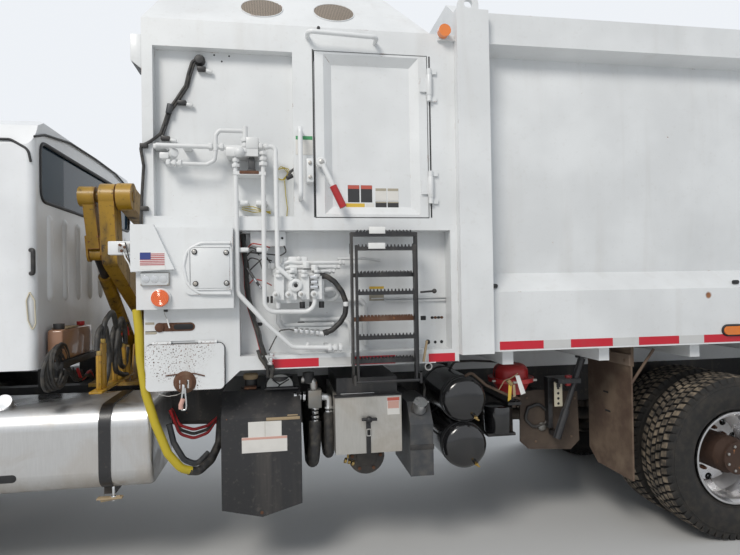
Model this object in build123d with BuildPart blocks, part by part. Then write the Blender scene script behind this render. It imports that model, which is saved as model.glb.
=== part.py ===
from build123d import *
from math import atan2, cos, degrees, hypot, radians, sin
import os

# Side-loading refuse truck, in millimetres. The front faces -X, the driver's side is -Y,
# the kerb side with the folding arm's grab is +Y, and +Z is up. The origin is on the ground
# below the middle of the truck.

# Overall sizes
FRONT = -5210
REAR = 5210
SIDE = 1220
CLEAR = 6
PIN_FIT = 0.3
ROD_FIT = 0.5
SEAT_GAP = 0.3

# Tyres and wheels
TYRE_R = 527
TYRE_WIDTH = 280
BEAD_R = 286
BEAD_WIDTH = 209
FLANGE_R = 298
FLANGE = 13
RIM_WALL = 14
AXLE_Z = TYRE_R
FRONT_AXLE_X = -4010
FRONT_TYRE_Y = 1040
REAR_AXLES_X = (1905, 3225)
OUTER_TYRE_Y = 1080
DUAL_SPACING = 343
HAND_HOLES = 10
HAND_HOLE_R = 26
HAND_HOLE_CIRCLE = 205
KINGPIN_Y = 930
KINGPIN_R = 24
AXLE_EYE_R = 49
SPINDLE_R = 40
REAR_SPINDLE_R = 60

# Chassis
RAIL_OUT = 432
RAIL_TOP = 1050
RAIL_WEB = 270
RAIL_FLANGE = 90
RAIL_T = 10
RAIL_X = (-4900, 4250)
CROSS_X = (-4860, -3080, -2450, -1500, 300, 1200, 2565, 3850)
BUMPER_X = (FRONT, -5060)
BUMPER_Z = (420, 720)
BUMPER_WRAP_X = BUMPER_X[0] + 360
TOW_Y = 620
TOW_R = 22
TOW_EYE = (BUMPER_X[0] + 60, BUMPER_Z[0] - 44)

# Cab
CAB_BACK = -2350
CAB_SIDE = 1030
CAB_WALL = 46
CAB_FLOOR = 1240
CAB_ROOF = 2700
CAB_EAVE = 2500
COWL_X = -3800
COWL_Z = 1990
DOOR_X = (-3752, -2570)
DOOR_Z = (1290, 2470)
DOOR_PILLAR_LEAN = 240
DOOR_HINGES_Z = (1470, 1870)
DOOR_KNUCKLE_R = 12
BACK_WINDOW_Y = 952
BACK_WINDOW_Z = (2195, 2535)
RIB_Z = (1595, 2150)
RIB_PITCH = 235
RIB_R = 60
RIB_RISE = 16
GLASS_T = 6

# Hood
HOOD_X = (-5110, -3806)
HOOD_HINGE = (-5080, 750)
HOOD_KNUCKLE_Y = 385
HOOD_HALF = 700
HOOD_TOP = 1930
HOOD_NOSE_TOP = 1720
FENDER_HALF = 1190
ARCH_R = 620

# Fuel tanks
TANK_X = (-3250, -1714)
TANK_Z = (580, 1040)
TANK_OUT = 1150
TANK_DEPTH = 600
TANK_R = 110
TANK_STRAPS_X = (-3050, -1960)
KERB_TANK_X = (-3250, -2330)
KERB_STRAPS_X = (-3050, -2500)
CAP_X = -2506
STRAP_W = 62
STRAP_T = 6

# Hopper
HOPPER_X = (-1733, 32)
HOPPER_Z = (1222, 3160)
HOPPER_LEFT_WALL = 160
HOPPER_WALL = 80
PANEL_X = (-1676, -921)
PANEL_Z = (2078, 3010)
PANEL_SINK = 62
ACCESS_X = (-796, -133)
ACCESS_Z = (2070, 3028)
ACCESS_T = 60
DISH_DEPTH = 38
ACCESS_AXIS = (ACCESS_X[1] + 5, -SIDE - 17)
ACCESS_HINGES_Z = (2250, 2850)
BAY_X = (-1230, -10)
BAY_Z = (1300, 2000)
BAY_SINK = 118
FRONT_PLATE_X = (-1733, -1230)
FRONT_PLATE_Z = 1149
FLAP_X = (-1722, -1312)
FLAP_Z = (1131, 1381)
FLAP_Y = (-1250, -1226)
FLAP_AXIS = (-1234, 1386)
FLAP_LUGS_X = (-1640, -1400)
CANOPY_X = (-1733, -112)
CANOPY_TOP_X = (-1595, -366)
CANOPY_Y = (-SIDE, 100)
CANOPY_TOP_Y = -860
CANOPY_TOP = 3560
CANOPY_WALL = 45

# Storage body
BODY_X = (229, 4320)
BODY_BOTTOM = 1273
BEARER_Z = 1185
BODY_WALL = 56
BAND_TOP = 1630
LEDGE = (1086, 1743)
BOW = 35
RAIL_Z = (3090, 3306)
ROOF_RISE = 74
ROOF_CROWN = RAIL_Z[1] + ROOF_RISE
HOOP_OUT = 1280
HOOP_Z = (1270, 3295)
EYE_X = 110
EYE_Z = 3330
EYE_R = 26

# Tailgate
GATE_HINGE = (4328, RAIL_Z[1])
GATE_WALL = 50
GATE_LUG = (4478, ROOF_CROWN + 40)
GATE_CYL_BASE = (3400, ROOF_CROWN + 45)
GATE_CYL_Y = 1100
GATE_ROD_R = 22
GATE_KNUCKLE_Y = 800

# Arm: a point on the arm is written as (Y, Z)
ARM_BASE_PIN = (300, 1450)
KNEE_PIN = (-700, 2260)
LEVER_ARM = (120, -350)
BOOM_BEND = (-640, 1890)
UPPER_END = (880, 1985)
GRAB_AXIS = (1125, 850)
GRAB_TUBE_R = 50
FINGER_OUT = 110
LIFT_BASE_PIN = (-376, 1269)
LIFT_ARM = 260
LIFT_ROD_R = 25
PIN_R = 35
LINK_X = (-2198, -2128)
BOOM_X = (-2095, -2005)
LIFT_X = (-1974, -1886)
UPPER_X = (-1995, -1905)
FINGER_PINS_X = (-1620, -1180)
FINGER_REACH = 600

# Access ladder
LADDER_X = (-612, -230)
LADDER_Z = (1168, 1982)
LADDER_OUT = 1300
TREADS_Z = (1982, 1751, 1503, 1267)
FOLD_RUNGS_Z = (1897, 1649, 1402)
FOLD_OUT = 1345

os.makedirs("parts", exist_ok=True)


def write(name, part):
    """Label a finished piece and write it under its name."""
    part.label = name
    export_step(part, f"parts/{name}.step")


def block(x, y, z, mode=Mode.ADD):
    """A square block between two limits on each axis."""
    middle = ((x[0] + x[1]) / 2, (y[0] + y[1]) / 2, (z[0] + z[1]) / 2)
    with Locations(middle):
        Box(x[1] - x[0], y[1] - y[0], z[1] - z[0], mode=mode)


def outline(plane, points, radius=0):
    """A closed straight-sided face on a plane, with its corners rounded alike."""
    with BuildSketch(plane) as face:
        with BuildLine():
            Polyline(*points, close=True)
        make_face()
        if radius:
            fillet(face.vertices(), radius)
    return face.sketch


def along_y(points, y, mode=Mode.ADD, radius=0):
    """An outline of X and Z points, between two values of Y."""
    extrude(outline(Plane.XZ.offset(-y[1]), points, radius), amount=y[1] - y[0], mode=mode)


def along_x(points, x, mode=Mode.ADD, radius=0):
    """An outline of Y and Z points, between two values of X."""
    extrude(outline(Plane.YZ.offset(x[0]), points, radius), amount=x[1] - x[0], mode=mode)


def along_z(points, z, mode=Mode.ADD, radius=0):
    """An outline of X and Y points, between two values of Z."""
    extrude(outline(Plane.XY.offset(z[0]), points, radius), amount=z[1] - z[0], mode=mode)


def rectangle(a, b):
    """The four corners between two limits on each of two axes."""
    return [(a[0], b[0]), (a[1], b[0]), (a[1], b[1]), (a[0], b[1])]


def bar(start, end, radius, mode=Mode.ADD):
    """A round bar, or a round hole, between two points."""
    run = Vector(*end) - Vector(*start)
    with BuildSketch(Plane(origin=start, z_dir=run)) as face:
        Circle(radius)
    extrude(face.sketch, amount=run.length, mode=mode)


def knuckles(start, end, radius, pin, ears):
    """A hinge's fixed side along an axis: an ear past each end of the barrel, and the pin."""
    run = Vector(*end) - Vector(*start)
    step = run.normalized()
    for place, way in ((Vector(*start), -1), (Vector(*end), 1)):
        bar(tuple(place + step * way * SEAT_GAP), tuple(place + step * way * ears), radius)
    bar(tuple(Vector(*start) - step * ears), tuple(Vector(*end) + step * ears), pin)


def barrel(start, end, radius, pin, ears=None):
    """A hinge's moving side: the barrel with its pin's bore, or the room for the fixed ears."""
    step = (Vector(*end) - Vector(*start)).normalized()
    if ears:
        for place, way in ((Vector(*start), -1), (Vector(*end), 1)):
            bar(tuple(place + step * way * 0.2), tuple(place + step * way * (ears + 5)), radius + 5, mode=Mode.SUBTRACT)
    bar(start, end, radius)
    bar(tuple(Vector(*start) - step), tuple(Vector(*end) + step), pin + PIN_FIT, mode=Mode.SUBTRACT)


def pipe(points, radius, bend):
    """A bent pipe along straight runs joined by arcs."""
    with BuildLine() as route:
        FilletPolyline(*points, radius=bend)
    with BuildSketch(Plane(origin=points[0], z_dir=Vector(*points[1]) - Vector(*points[0]))) as face:
        Circle(radius)
    sweep(face.sketch, path=route.line)


# Tyres: a plain casing with a slightly crowned tread; the outline is radius against offset,
# and the plane's second axis runs toward -Y.
def tyre(x, y):
    """One tyre standing on the ground."""
    half = TYRE_WIDTH / 2
    bead = BEAD_WIDTH / 2
    shoulder = TYRE_R - 18
    belly = (BEAD_R + TYRE_R) / 2
    with BuildSketch(Plane(origin=(x, y, AXLE_Z), x_dir=(0, 0, 1), z_dir=(1, 0, 0))) as casing:
        with BuildLine():
            Polyline((FLANGE_R + 8, 2 - bead), (BEAD_R, 10 - bead), (BEAD_R, bead - 10), (FLANGE_R + 8, bead - 2))
            ThreePointArc((FLANGE_R + 8, bead - 2), (belly, half), (shoulder, half - 20))
            Polyline((shoulder, half - 20), (TYRE_R, half - 45), (TYRE_R, 45 - half), (shoulder, 20 - half))
            ThreePointArc((shoulder, 20 - half), (belly, -half), (FLANGE_R + 8, 2 - bead))
        make_face()
    revolve(casing.sketch, axis=Axis((x, y, AXLE_Z), (0, 1, 0)))


def hand_holes(x, y0, y1):
    """The ring of round holes through a wheel's disc."""
    for index in range(HAND_HOLES):
        turn = radians(360 * (index + 0.5) / HAND_HOLES)
        place_x = x + HAND_HOLE_CIRCLE * cos(turn)
        place_z = AXLE_Z + HAND_HOLE_CIRCLE * sin(turn)
        bar((place_x, y0, place_z), (place_x, y1, place_z), HAND_HOLE_R, mode=Mode.SUBTRACT)


def wheel(x, y, side, disc_out, hub_out, hub_in, bore):
    """A steel disc wheel with its hub. The disc meets the hub at disc_out, outboard from y."""
    half = BEAD_WIDTH / 2
    lip = half + FLANGE
    inner = BEAD_R - RIM_WALL
    disc_t = 14
    hub_r = 120
    # Radius, then distance outboard of the tyre's middle
    barrel = [
        (FLANGE_R, -lip), (FLANGE_R, -half), (BEAD_R - SEAT_GAP, 8 - half), (BEAD_R - SEAT_GAP, half - 8), (FLANGE_R, half),
        (FLANGE_R, lip), (FLANGE_R - 12, lip), (inner, half - 6), (inner, -half + 6), (FLANGE_R - 12, -lip),
    ]
    with BuildSketch(Plane(origin=(x, y, AXLE_Z), x_dir=(0, 0, 1), z_dir=(-side, 0, 0))) as section:
        with BuildLine():
            Polyline(*barrel, close=True)
        make_face()
        if disc_out is not None:
            root = half - 22 if disc_out > 0 else 22 - half
            slope = 1 if disc_out > 0 else -1
            with BuildLine():
                Polyline(
                    (inner + 3, root), (inner - 40, disc_out), (bore + 2, disc_out),
                    (bore + 2, disc_out - slope * disc_t), (inner - 50, disc_out - slope * disc_t),
                    (inner + 3, root - slope * 16), close=True,
                )
            make_face()
        if hub_out is not None:
            with BuildLine():
                Polyline((bore, hub_in), (hub_r, hub_in), (hub_r, hub_out - 60), (92, hub_out), (bore, hub_out), close=True)
            make_face()
    revolve(section.sketch, axis=Axis((x, y, AXLE_Z), (0, 1, 0)))


SIDES = (("left", -1), ("right", 1))

# Front wheels
SPINDLE_END = FRONT_TYRE_Y + 96
STEER_DISC = 92
for word, side in SIDES:
    with BuildPart() as front_tyre:
        tyre(FRONT_AXLE_X, side * FRONT_TYRE_Y)
    write(f"tyre_front_{word}", front_tyre.part)
    with BuildPart() as front_rim:
        wheel(FRONT_AXLE_X, side * FRONT_TYRE_Y, side, STEER_DISC, 150, -30, SPINDLE_R + PIN_FIT)
        hand_holes(FRONT_AXLE_X, side * (FRONT_TYRE_Y + STEER_DISC - 40), side * (FRONT_TYRE_Y + STEER_DISC + 20))
        cap_y = side * (FRONT_TYRE_Y + 150)
        bar((FRONT_AXLE_X, side * (FRONT_TYRE_Y + 110), AXLE_Z), (FRONT_AXLE_X, cap_y, AXLE_Z), 85)
        bar((FRONT_AXLE_X, cap_y, AXLE_Z), (FRONT_AXLE_X, cap_y + side * 35, AXLE_Z), 62)
    write(f"rim_front_{word}", front_rim.part)

# Rear wheels: two tyres and two wheels on each hub
for number, axle_x in enumerate(REAR_AXLES_X, 1):
    for word, side in SIDES:
        outer_y = side * OUTER_TYRE_Y
        inner_y = side * (OUTER_TYRE_Y - DUAL_SPACING)
        with BuildPart() as dual_tyres:
            tyre(axle_x, outer_y)
            tyre(axle_x, inner_y)
        write(f"tyres_rear_{number}_{word}", dual_tyres.part)
        seat = DUAL_SPACING / 2
        with BuildPart() as dual_rims:
            wheel(axle_x, outer_y, side, -seat + 14, 100, -seat - 60, REAR_SPINDLE_R + PIN_FIT)
            wheel(axle_x, inner_y, side, seat, None, None, REAR_SPINDLE_R + 20)
            hand_holes(axle_x, side * (OUTER_TYRE_Y - seat - 30), side * (OUTER_TYRE_Y - seat + 30))
            face_y = outer_y + side * 100
            bar((axle_x, outer_y + side * 70, AXLE_Z), (axle_x, face_y, AXLE_Z), 90)
            bar((axle_x, face_y, AXLE_Z), (axle_x, face_y + side * 22, AXLE_Z), 105)
        write(f"rims_rear_{number}_{word}", dual_rims.part)

# Chassis: two channel rails, cross members, tank brackets and the rear underride guard
with BuildPart() as chassis_frame:
    rail_low = RAIL_TOP - RAIL_WEB
    inner = RAIL_OUT - RAIL_FLANGE
    web = RAIL_OUT - RAIL_T
    along_x(
        [
            (RAIL_OUT, rail_low), (inner, rail_low), (inner, rail_low + RAIL_T), (web, rail_low + RAIL_T),
            (web, RAIL_TOP - RAIL_T), (inner, RAIL_TOP - RAIL_T), (inner, RAIL_TOP), (RAIL_OUT, RAIL_TOP),
        ],
        RAIL_X,
    )
    block((4330, 4410), (RAIL_OUT - 90, RAIL_OUT - 10), (470, 800))
    mirror(about=Plane.XZ)
    for side, straps_x in ((-1, TANK_STRAPS_X), (1, KERB_STRAPS_X)):
        for strap_x in straps_x:
            bracket_x = (strap_x - STRAP_W / 2, strap_x + STRAP_W / 2)
            block(bracket_x, sorted((side * RAIL_OUT, side * (RAIL_OUT + 40))), (540, RAIL_TOP - 30))
            block(bracket_x, sorted((side * RAIL_OUT, side * (TANK_OUT - 90))), (540, TANK_Z[0]))
    # Cross members between the webs, and the rear member with its underride guard
    span = (SEAT_GAP - web, web - SEAT_GAP)
    for cross_x in CROSS_X:
        block((cross_x - 35, cross_x + 35), span, (rail_low + 60, RAIL_TOP - 60))
    block((4160, 4410), span, (rail_low + 20, RAIL_TOP - 20))
    block((RAIL_X[1] + SEAT_GAP, 4410), (-RAIL_OUT, RAIL_OUT), (rail_low + 20, RAIL_TOP - 20))
    block((4330, 4430), (-1180, 1180), (440, 540))
write("chassis_frame", chassis_frame.part)

# Front bumper with rounded ends and a lower air slot
with BuildPart() as front_bumper:
    along_z(
        [
            (BUMPER_X[0], 240 - FENDER_HALF), (BUMPER_X[0], FENDER_HALF - 240), (BUMPER_X[0] + 150, FENDER_HALF),
            (BUMPER_WRAP_X, FENDER_HALF + 10), (BUMPER_WRAP_X, FENDER_HALF - 40), (BUMPER_X[1], FENDER_HALF - 70),
            (BUMPER_X[1], 70 - FENDER_HALF), (BUMPER_WRAP_X, 40 - FENDER_HALF), (BUMPER_WRAP_X, -FENDER_HALF - 10),
            (BUMPER_X[0] + 150, -FENDER_HALF),
        ],
        BUMPER_Z,
    )
    block((FRONT - 10, BUMPER_X[1] + 10), (-360, 360), (500, 580), mode=Mode.SUBTRACT)
    # Tow eyes below the bumper
    for side in (-1, 1):
        block((TOW_EYE[0] - 45, TOW_EYE[0] + 45), (side * TOW_Y - 20, side * TOW_Y + 20), (TOW_EYE[1] - 41, BUMPER_Z[0] - SEAT_GAP))
        bar((TOW_EYE[0], side * TOW_Y - 25, TOW_EYE[1]), (TOW_EYE[0], side * TOW_Y + 25, TOW_EYE[1]), TOW_R, mode=Mode.SUBTRACT)
        # Ears and pins that carry the hood's hinge
        for ear_y in ((side * HOOD_KNUCKLE_Y - 46, side * HOOD_KNUCKLE_Y - 31), (side * HOOD_KNUCKLE_Y + 31, side * HOOD_KNUCKLE_Y + 46)):
            block((HOOD_HINGE[0] - 18, HOOD_HINGE[0] + 18), ear_y, (BUMPER_Z[1] - 1, HOOD_HINGE[1]))
            bar((HOOD_HINGE[0], ear_y[0], HOOD_HINGE[1]), (HOOD_HINGE[0], ear_y[1], HOOD_HINGE[1]), 18)
        bar((HOOD_HINGE[0], side * HOOD_KNUCKLE_Y - 46, HOOD_HINGE[1]), (HOOD_HINGE[0], side * HOOD_KNUCKLE_Y + 46, HOOD_HINGE[1]), 10)
        block((BUMPER_X[1] - 5, RAIL_X[0]), (side * 385 - 45, side * 385 + 45), (BUMPER_Z[0] + 60, BUMPER_Z[1] - 20))
        block((RAIL_X[0] - 60, RAIL_X[0]), (side * 385 - 45, side * 385 + 45), (BUMPER_Z[0] + 60, RAIL_TOP - 40))
write("front_bumper", front_bumper.part)

# Engine and gearbox: one plain block at its real size
with BuildPart() as engine:
    block((-4760, -3880), (-300, 300), (830, 1700))
    block((-3880, -3150), (-210, 210), (720, 1080))
    block((-4815, -4785), (-330, 330), (830, 1640))
    block((-4786, -4760), (-120, 120), (1000, 1300))
    for side in (-1, 1):
        block((-4400, -4280), sorted((side * 299, side * (RAIL_OUT - RAIL_T - SEAT_GAP))), (900, 1000))
write("engine", engine.part)

# Front axle: dropped beam with kingpin eyes, on two leaf springs
SPRING_Y = 387
SPRING_HALF_W = 42
BEAM_TOP = 430
with BuildPart() as front_axle:
    eye_low, eye_high = 440, 600
    along_x(
        [
            (0, BEAM_TOP - 110), (560, BEAM_TOP - 110), (760, eye_low - 20), (880, eye_low), (KINGPIN_Y, eye_low),
            (KINGPIN_Y, eye_high), (890, eye_high), (700, BEAM_TOP + 70), (560, BEAM_TOP), (0, BEAM_TOP),
        ],
        (FRONT_AXLE_X - AXLE_EYE_R, FRONT_AXLE_X + AXLE_EYE_R),
    )
    bar((FRONT_AXLE_X, KINGPIN_Y, eye_low), (FRONT_AXLE_X, KINGPIN_Y, eye_high), AXLE_EYE_R)
    with BuildSketch(Plane.XZ.offset(-(SPRING_Y + SPRING_HALF_W))) as leaves:
        with BuildLine():
            ThreePointArc((FRONT_AXLE_X - 620, 690), (FRONT_AXLE_X, BEAM_TOP), (FRONT_AXLE_X + 620, 690))
            Line((FRONT_AXLE_X + 620, 690), (FRONT_AXLE_X + 620, 705))
            ThreePointArc((FRONT_AXLE_X + 620, 705), (FRONT_AXLE_X, BEAM_TOP + 70), (FRONT_AXLE_X - 620, 705))
            Line((FRONT_AXLE_X - 620, 705), (FRONT_AXLE_X - 620, 690))
        make_face()
    extrude(leaves.sketch, amount=2 * SPRING_HALF_W)
    for end_x in (FRONT_AXLE_X - 610, FRONT_AXLE_X + 610):
        block((end_x - 40, end_x + 40), (SPRING_Y - SPRING_HALF_W, SPRING_Y + SPRING_HALF_W), (680, RAIL_TOP - RAIL_WEB))
    mirror(about=Plane.XZ)
    for side in (-1, 1):
        bar((FRONT_AXLE_X, side * KINGPIN_Y, eye_low - 5), (FRONT_AXLE_X, side * KINGPIN_Y, eye_high + 5),
            KINGPIN_R + PIN_FIT, mode=Mode.SUBTRACT)
write("front_axle", front_axle.part)

# Steering knuckles: a fork round the beam's eye, its kingpin and the wheel spindle
STEER_ARM = (170, -90)
ROD_Z = 402
for word, side in SIDES:
    pin_y = side * KINGPIN_Y
    plate = sorted((side * 985, side * 1010))
    with BuildPart() as knuckle:
        bar((FRONT_AXLE_X, pin_y, 380), (FRONT_AXLE_X, pin_y, 660), KINGPIN_R)
        for low, high in ((385, 430), (610, 655)):
            block((FRONT_AXLE_X - 48, FRONT_AXLE_X + 48), sorted((side * 890, side * 1010)), (low, high))
        block((FRONT_AXLE_X - 60, FRONT_AXLE_X + 60), plate, (385, 655))
        bar((FRONT_AXLE_X, side * 1005, AXLE_Z), (FRONT_AXLE_X, side * SPINDLE_END, AXLE_Z), SPINDLE_R)
        arm_x = FRONT_AXLE_X + STEER_ARM[0]
        arm_y = side * (KINGPIN_Y + STEER_ARM[1])
        along_z(
            [
                (FRONT_AXLE_X + 30, side * 900), (FRONT_AXLE_X + 30, side * 960), (arm_x + 25, arm_y + side * 25),
                (arm_x + 25, arm_y - side * 25), (arm_x - 25, arm_y - side * 25),
            ],
            (385, 415),
        )
    write(f"knuckle_{word}", knuckle.part)

# Rear axles: two driven axles on walking beams, with the propeller shaft
with BuildPart() as rear_axles:
    for axle_x in REAR_AXLES_X:
        bar((axle_x, -(OUTER_TYRE_Y + 60), AXLE_Z), (axle_x, OUTER_TYRE_Y + 60, AXLE_Z), REAR_SPINDLE_R)
        bar((axle_x, -560, AXLE_Z), (axle_x, 560, AXLE_Z), 85)
        bar((axle_x, -150, AXLE_Z), (axle_x, 150, AXLE_Z), 215)
        bar((axle_x - 290, 0, AXLE_Z + 40), (axle_x, 0, AXLE_Z + 20), 95)
    middle_x = sum(REAR_AXLES_X) / 2
    for side in (-1, 1):
        beam_y = sorted((side * 470, side * 545))
        along_y(
            [
                (REAR_AXLES_X[0] - 110, 440), (middle_x, 300), (REAR_AXLES_X[1] + 110, 440),
                (REAR_AXLES_X[1] + 110, 560), (middle_x, 430), (REAR_AXLES_X[0] - 110, 560),
            ],
            beam_y,
        )
        along_y(
            [(middle_x - 90, 340), (middle_x + 90, 340), (middle_x + 260, 800), (middle_x - 260, 800)],
            sorted((side * (RAIL_OUT + 1), side * 480)),
        )
    block((-3150 + SEAT_GAP, -3110), (-60, 60), (725, 800))
    bar((-3130, 0, 760), (REAR_AXLES_X[0] - 280, 0, AXLE_Z + 40), 48)
    bar((REAR_AXLES_X[0] + 200, 0, AXLE_Z + 30), (REAR_AXLES_X[1] - 280, 0, AXLE_Z + 40), 52)
write("rear_axles", rear_axles.part)

# Cab: pressed shell with a crowned roof; the windscreen leans back from the cowl
HEADER = (-3470, 2640)
cab_profile = [
    (CAB_BACK, CAB_FLOOR), (CAB_BACK, CAB_ROOF - 45), (CAB_BACK - 90, CAB_ROOF + 10), (-3150, CAB_ROOF + 30),
    HEADER, (COWL_X, COWL_Z), (COWL_X, CAB_FLOOR + 60), (COWL_X + 330, CAB_FLOOR + 60), (COWL_X + 390, CAB_FLOOR),
]
cab_section = [
    (-CAB_SIDE, CAB_FLOOR), (CAB_SIDE, CAB_FLOOR), (CAB_SIDE, CAB_EAVE), (CAB_SIDE - 55, CAB_EAVE + 120),
    (CAB_SIDE - 190, CAB_ROOF - 20), (0, CAB_ROOF + 40), (190 - CAB_SIDE, CAB_ROOF - 20),
    (55 - CAB_SIDE, CAB_EAVE + 120), (-CAB_SIDE, CAB_EAVE),
]


def grown(points, centre, change):
    """An outline's points moved toward a centre by a fixed amount on each axis."""
    moved = []
    for a, b in points:
        step_a = change if a < centre[0] else -change
        step_b = change if b < centre[1] else -change
        moved.append((a + step_a if a != centre[0] else a, b + step_b))
    return moved


with BuildPart() as cab_inside:
    along_y(grown(cab_profile, (-3000, 1900), CAB_WALL), (CAB_WALL - CAB_SIDE, CAB_SIDE - CAB_WALL))
    along_x(grown(cab_section, (0, 1900), CAB_WALL), (COWL_X, CAB_BACK), mode=Mode.INTERSECT)

door_outline = [
    (DOOR_X[0], DOOR_Z[0] + 60), (DOOR_X[0], COWL_Z), (DOOR_X[0] + DOOR_PILLAR_LEAN, DOOR_Z[1]),
    (DOOR_X[1], DOOR_Z[1]), (DOOR_X[1], DOOR_Z[0]), (-3450, DOOR_Z[0]),
]
window_outline = [
    (DOOR_X[0] + 100, COWL_Z + 20), (DOOR_X[0] + DOOR_PILLAR_LEAN + 40, DOOR_Z[1] - 70),
    (DOOR_X[1] - 75, DOOR_Z[1] - 70), (DOOR_X[1] - 75, COWL_Z + 20),
]
screen = Plane(origin=((HEADER[0] + COWL_X) / 2, 0, (HEADER[1] + COWL_Z) / 2), x_dir=(0, 1, 0),
               z_dir=(COWL_Z - HEADER[1], 0, HEADER[0] - COWL_X))
SCREEN_HALF = 940
SCREEN_RISE = hypot(HEADER[0] - COWL_X, HEADER[1] - COWL_Z) - 160

with BuildPart() as cab_shell:
    along_y(cab_profile, (-CAB_SIDE, CAB_SIDE))
    along_x(cab_section, (COWL_X, CAB_BACK), mode=Mode.INTERSECT)
    fillet(cab_shell.edges().filter_by(Axis.Z).group_by(Axis.X)[-1], 45)
    # Pressed ribs with round ends down the rear wall
    for index in range(8):
        rib_x, rib_y = CAB_BACK - RIB_R + RIB_RISE, (index - 3.5) * RIB_PITCH
        bar((rib_x, rib_y, RIB_Z[0] + RIB_R), (rib_x, rib_y, RIB_Z[1] - RIB_R), RIB_R)
        with Locations((rib_x, rib_y, RIB_Z[0] + RIB_R), (rib_x, rib_y, RIB_Z[1] - RIB_R)):
            Sphere(RIB_R)
    add(cab_inside.part, mode=Mode.SUBTRACT)
    for side in (-1, 1):
        along_y(
            [(a + (CLEAR if a > -3000 else -CLEAR), b + (CLEAR if b > 1900 else -CLEAR)) for a, b in door_outline],
            sorted((side * (CAB_SIDE + 10), side * (CAB_SIDE - CAB_WALL - 10))),
            mode=Mode.SUBTRACT,
        )
    along_x(rectangle((-BACK_WINDOW_Y, BACK_WINDOW_Y), BACK_WINDOW_Z), (CAB_BACK - 80, CAB_BACK + 10),
            mode=Mode.SUBTRACT, radius=75)
    with BuildSketch(screen) as opening:
        Rectangle(2 * SCREEN_HALF, SCREEN_RISE)
        fillet(opening.vertices(), 70)
    extrude(opening.sketch, amount=120, both=True, mode=Mode.SUBTRACT)
    # Mounts on the chassis rails
    for side in (-1, 1):
        for mount_x, mount_top in ((-3700, CAB_FLOOR + 65), (-2520, CAB_FLOOR + 5)):
            block((mount_x - 60, mount_x + 60), sorted((side * 345, side * 425)), (RAIL_TOP + SEAT_GAP, mount_top))
        for hinge_z in DOOR_HINGES_Z:
            place = (DOOR_X[0], side * CAB_SIDE)
            bar((*place, hinge_z - 31), (*place, hinge_z + 31), DOOR_KNUCKLE_R + 3, mode=Mode.SUBTRACT)
            knuckles((*place, hinge_z - 30), (*place, hinge_z + 30), DOOR_KNUCKLE_R, 5, 22)
write("cab_shell", cab_shell.part)

# Fixed glass: windscreen and rear window, each in its own opening
with BuildPart() as cab_glass:
    with BuildSketch(screen.offset(-20)) as pane:
        Rectangle(2 * SCREEN_HALF - 1, SCREEN_RISE - 1)
        fillet(pane.vertices(), 70)
    extrude(pane.sketch, amount=GLASS_T)
    along_x(
        rectangle((0.3 - BACK_WINDOW_Y, BACK_WINDOW_Y - SEAT_GAP), (BACK_WINDOW_Z[0] + SEAT_GAP, BACK_WINDOW_Z[1] - SEAT_GAP)),
        (CAB_BACK - 20, CAB_BACK - 20 + GLASS_T), radius=74.7,
    )
write("cab_glass", cab_glass.part)

# Doors with their own drop glass
for word, side in SIDES:
    skin = side * CAB_SIDE
    lining = side * (CAB_SIDE - CAB_WALL)
    with BuildPart() as door:
        along_y(door_outline, sorted((skin, lining)))
        along_y(window_outline, sorted((skin + side * 5, lining - side * 5)), mode=Mode.SUBTRACT, radius=35)
        block((DOOR_X[1] - 200, DOOR_X[1] - 60), sorted((skin, skin + side * 32)), (1880, 1915))
        for hinge_z in DOOR_HINGES_Z:
            barrel((DOOR_X[0], skin, hinge_z - 30), (DOOR_X[0], skin, hinge_z + 30), DOOR_KNUCKLE_R, 5, ears=22)
    write(f"door_{word}", door.part)
    with BuildPart() as drop_glass:
        along_y(
            [(a + (-0.4 if a > -3000 else 0.8), b + (-0.3 if b > 2200 else 0.3)) for a, b in window_outline],
            sorted((skin - side * 14, skin - side * (14 + GLASS_T))), radius=34.6,
        )
    write(f"glass_{word}", drop_glass.part)

# Dashboard with the steering column and wheel
WHEEL_CENTRE = (-3300, -480, 2010)
with BuildPart() as dashboard:
    along_y(
        [
            (COWL_X + CAB_WALL + SEAT_GAP, 1500), (-3620, 1500), (-3500, 1760), (-3480, 1880), (-3560, 1935),
            (COWL_X + CAB_WALL + SEAT_GAP, 1935),
        ],
        (-CAB_SIDE + CAB_WALL + 4, CAB_SIDE - CAB_WALL - 4),
    )
    bar((-3560, WHEEL_CENTRE[1], 1800), WHEEL_CENTRE, 28)
    with BuildSketch(Plane(origin=WHEEL_CENTRE, z_dir=(260, 0, 210))) as spoke:
        Rectangle(36, 440)
        Rectangle(440, 36)
    extrude(spoke.sketch, amount=10, both=True)
    with BuildSketch(Plane(origin=WHEEL_CENTRE, z_dir=(260, 0, 210))) as ring:
        Circle(230)
        Circle(205, mode=Mode.SUBTRACT)
    extrude(ring.sketch, amount=14, both=True)
write("dashboard", dashboard.part)

# Seats: two plain seats on their pedestals
SEAT_Y = 480
with BuildPart() as seats:
    block((-3060, -2640), (SEAT_Y - 150, SEAT_Y + 150), (CAB_FLOOR + CAB_WALL, 1560))
    along_y(
        [(-3130, 1560), (-2560, 1560), (-2480, 2280), (-2590, 2290), (-2690, 1700), (-3130, 1710)],
        (SEAT_Y - 250, SEAT_Y + 250), radius=40,
    )
    mirror(about=Plane.XZ)
write("seats", seats.part)

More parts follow.
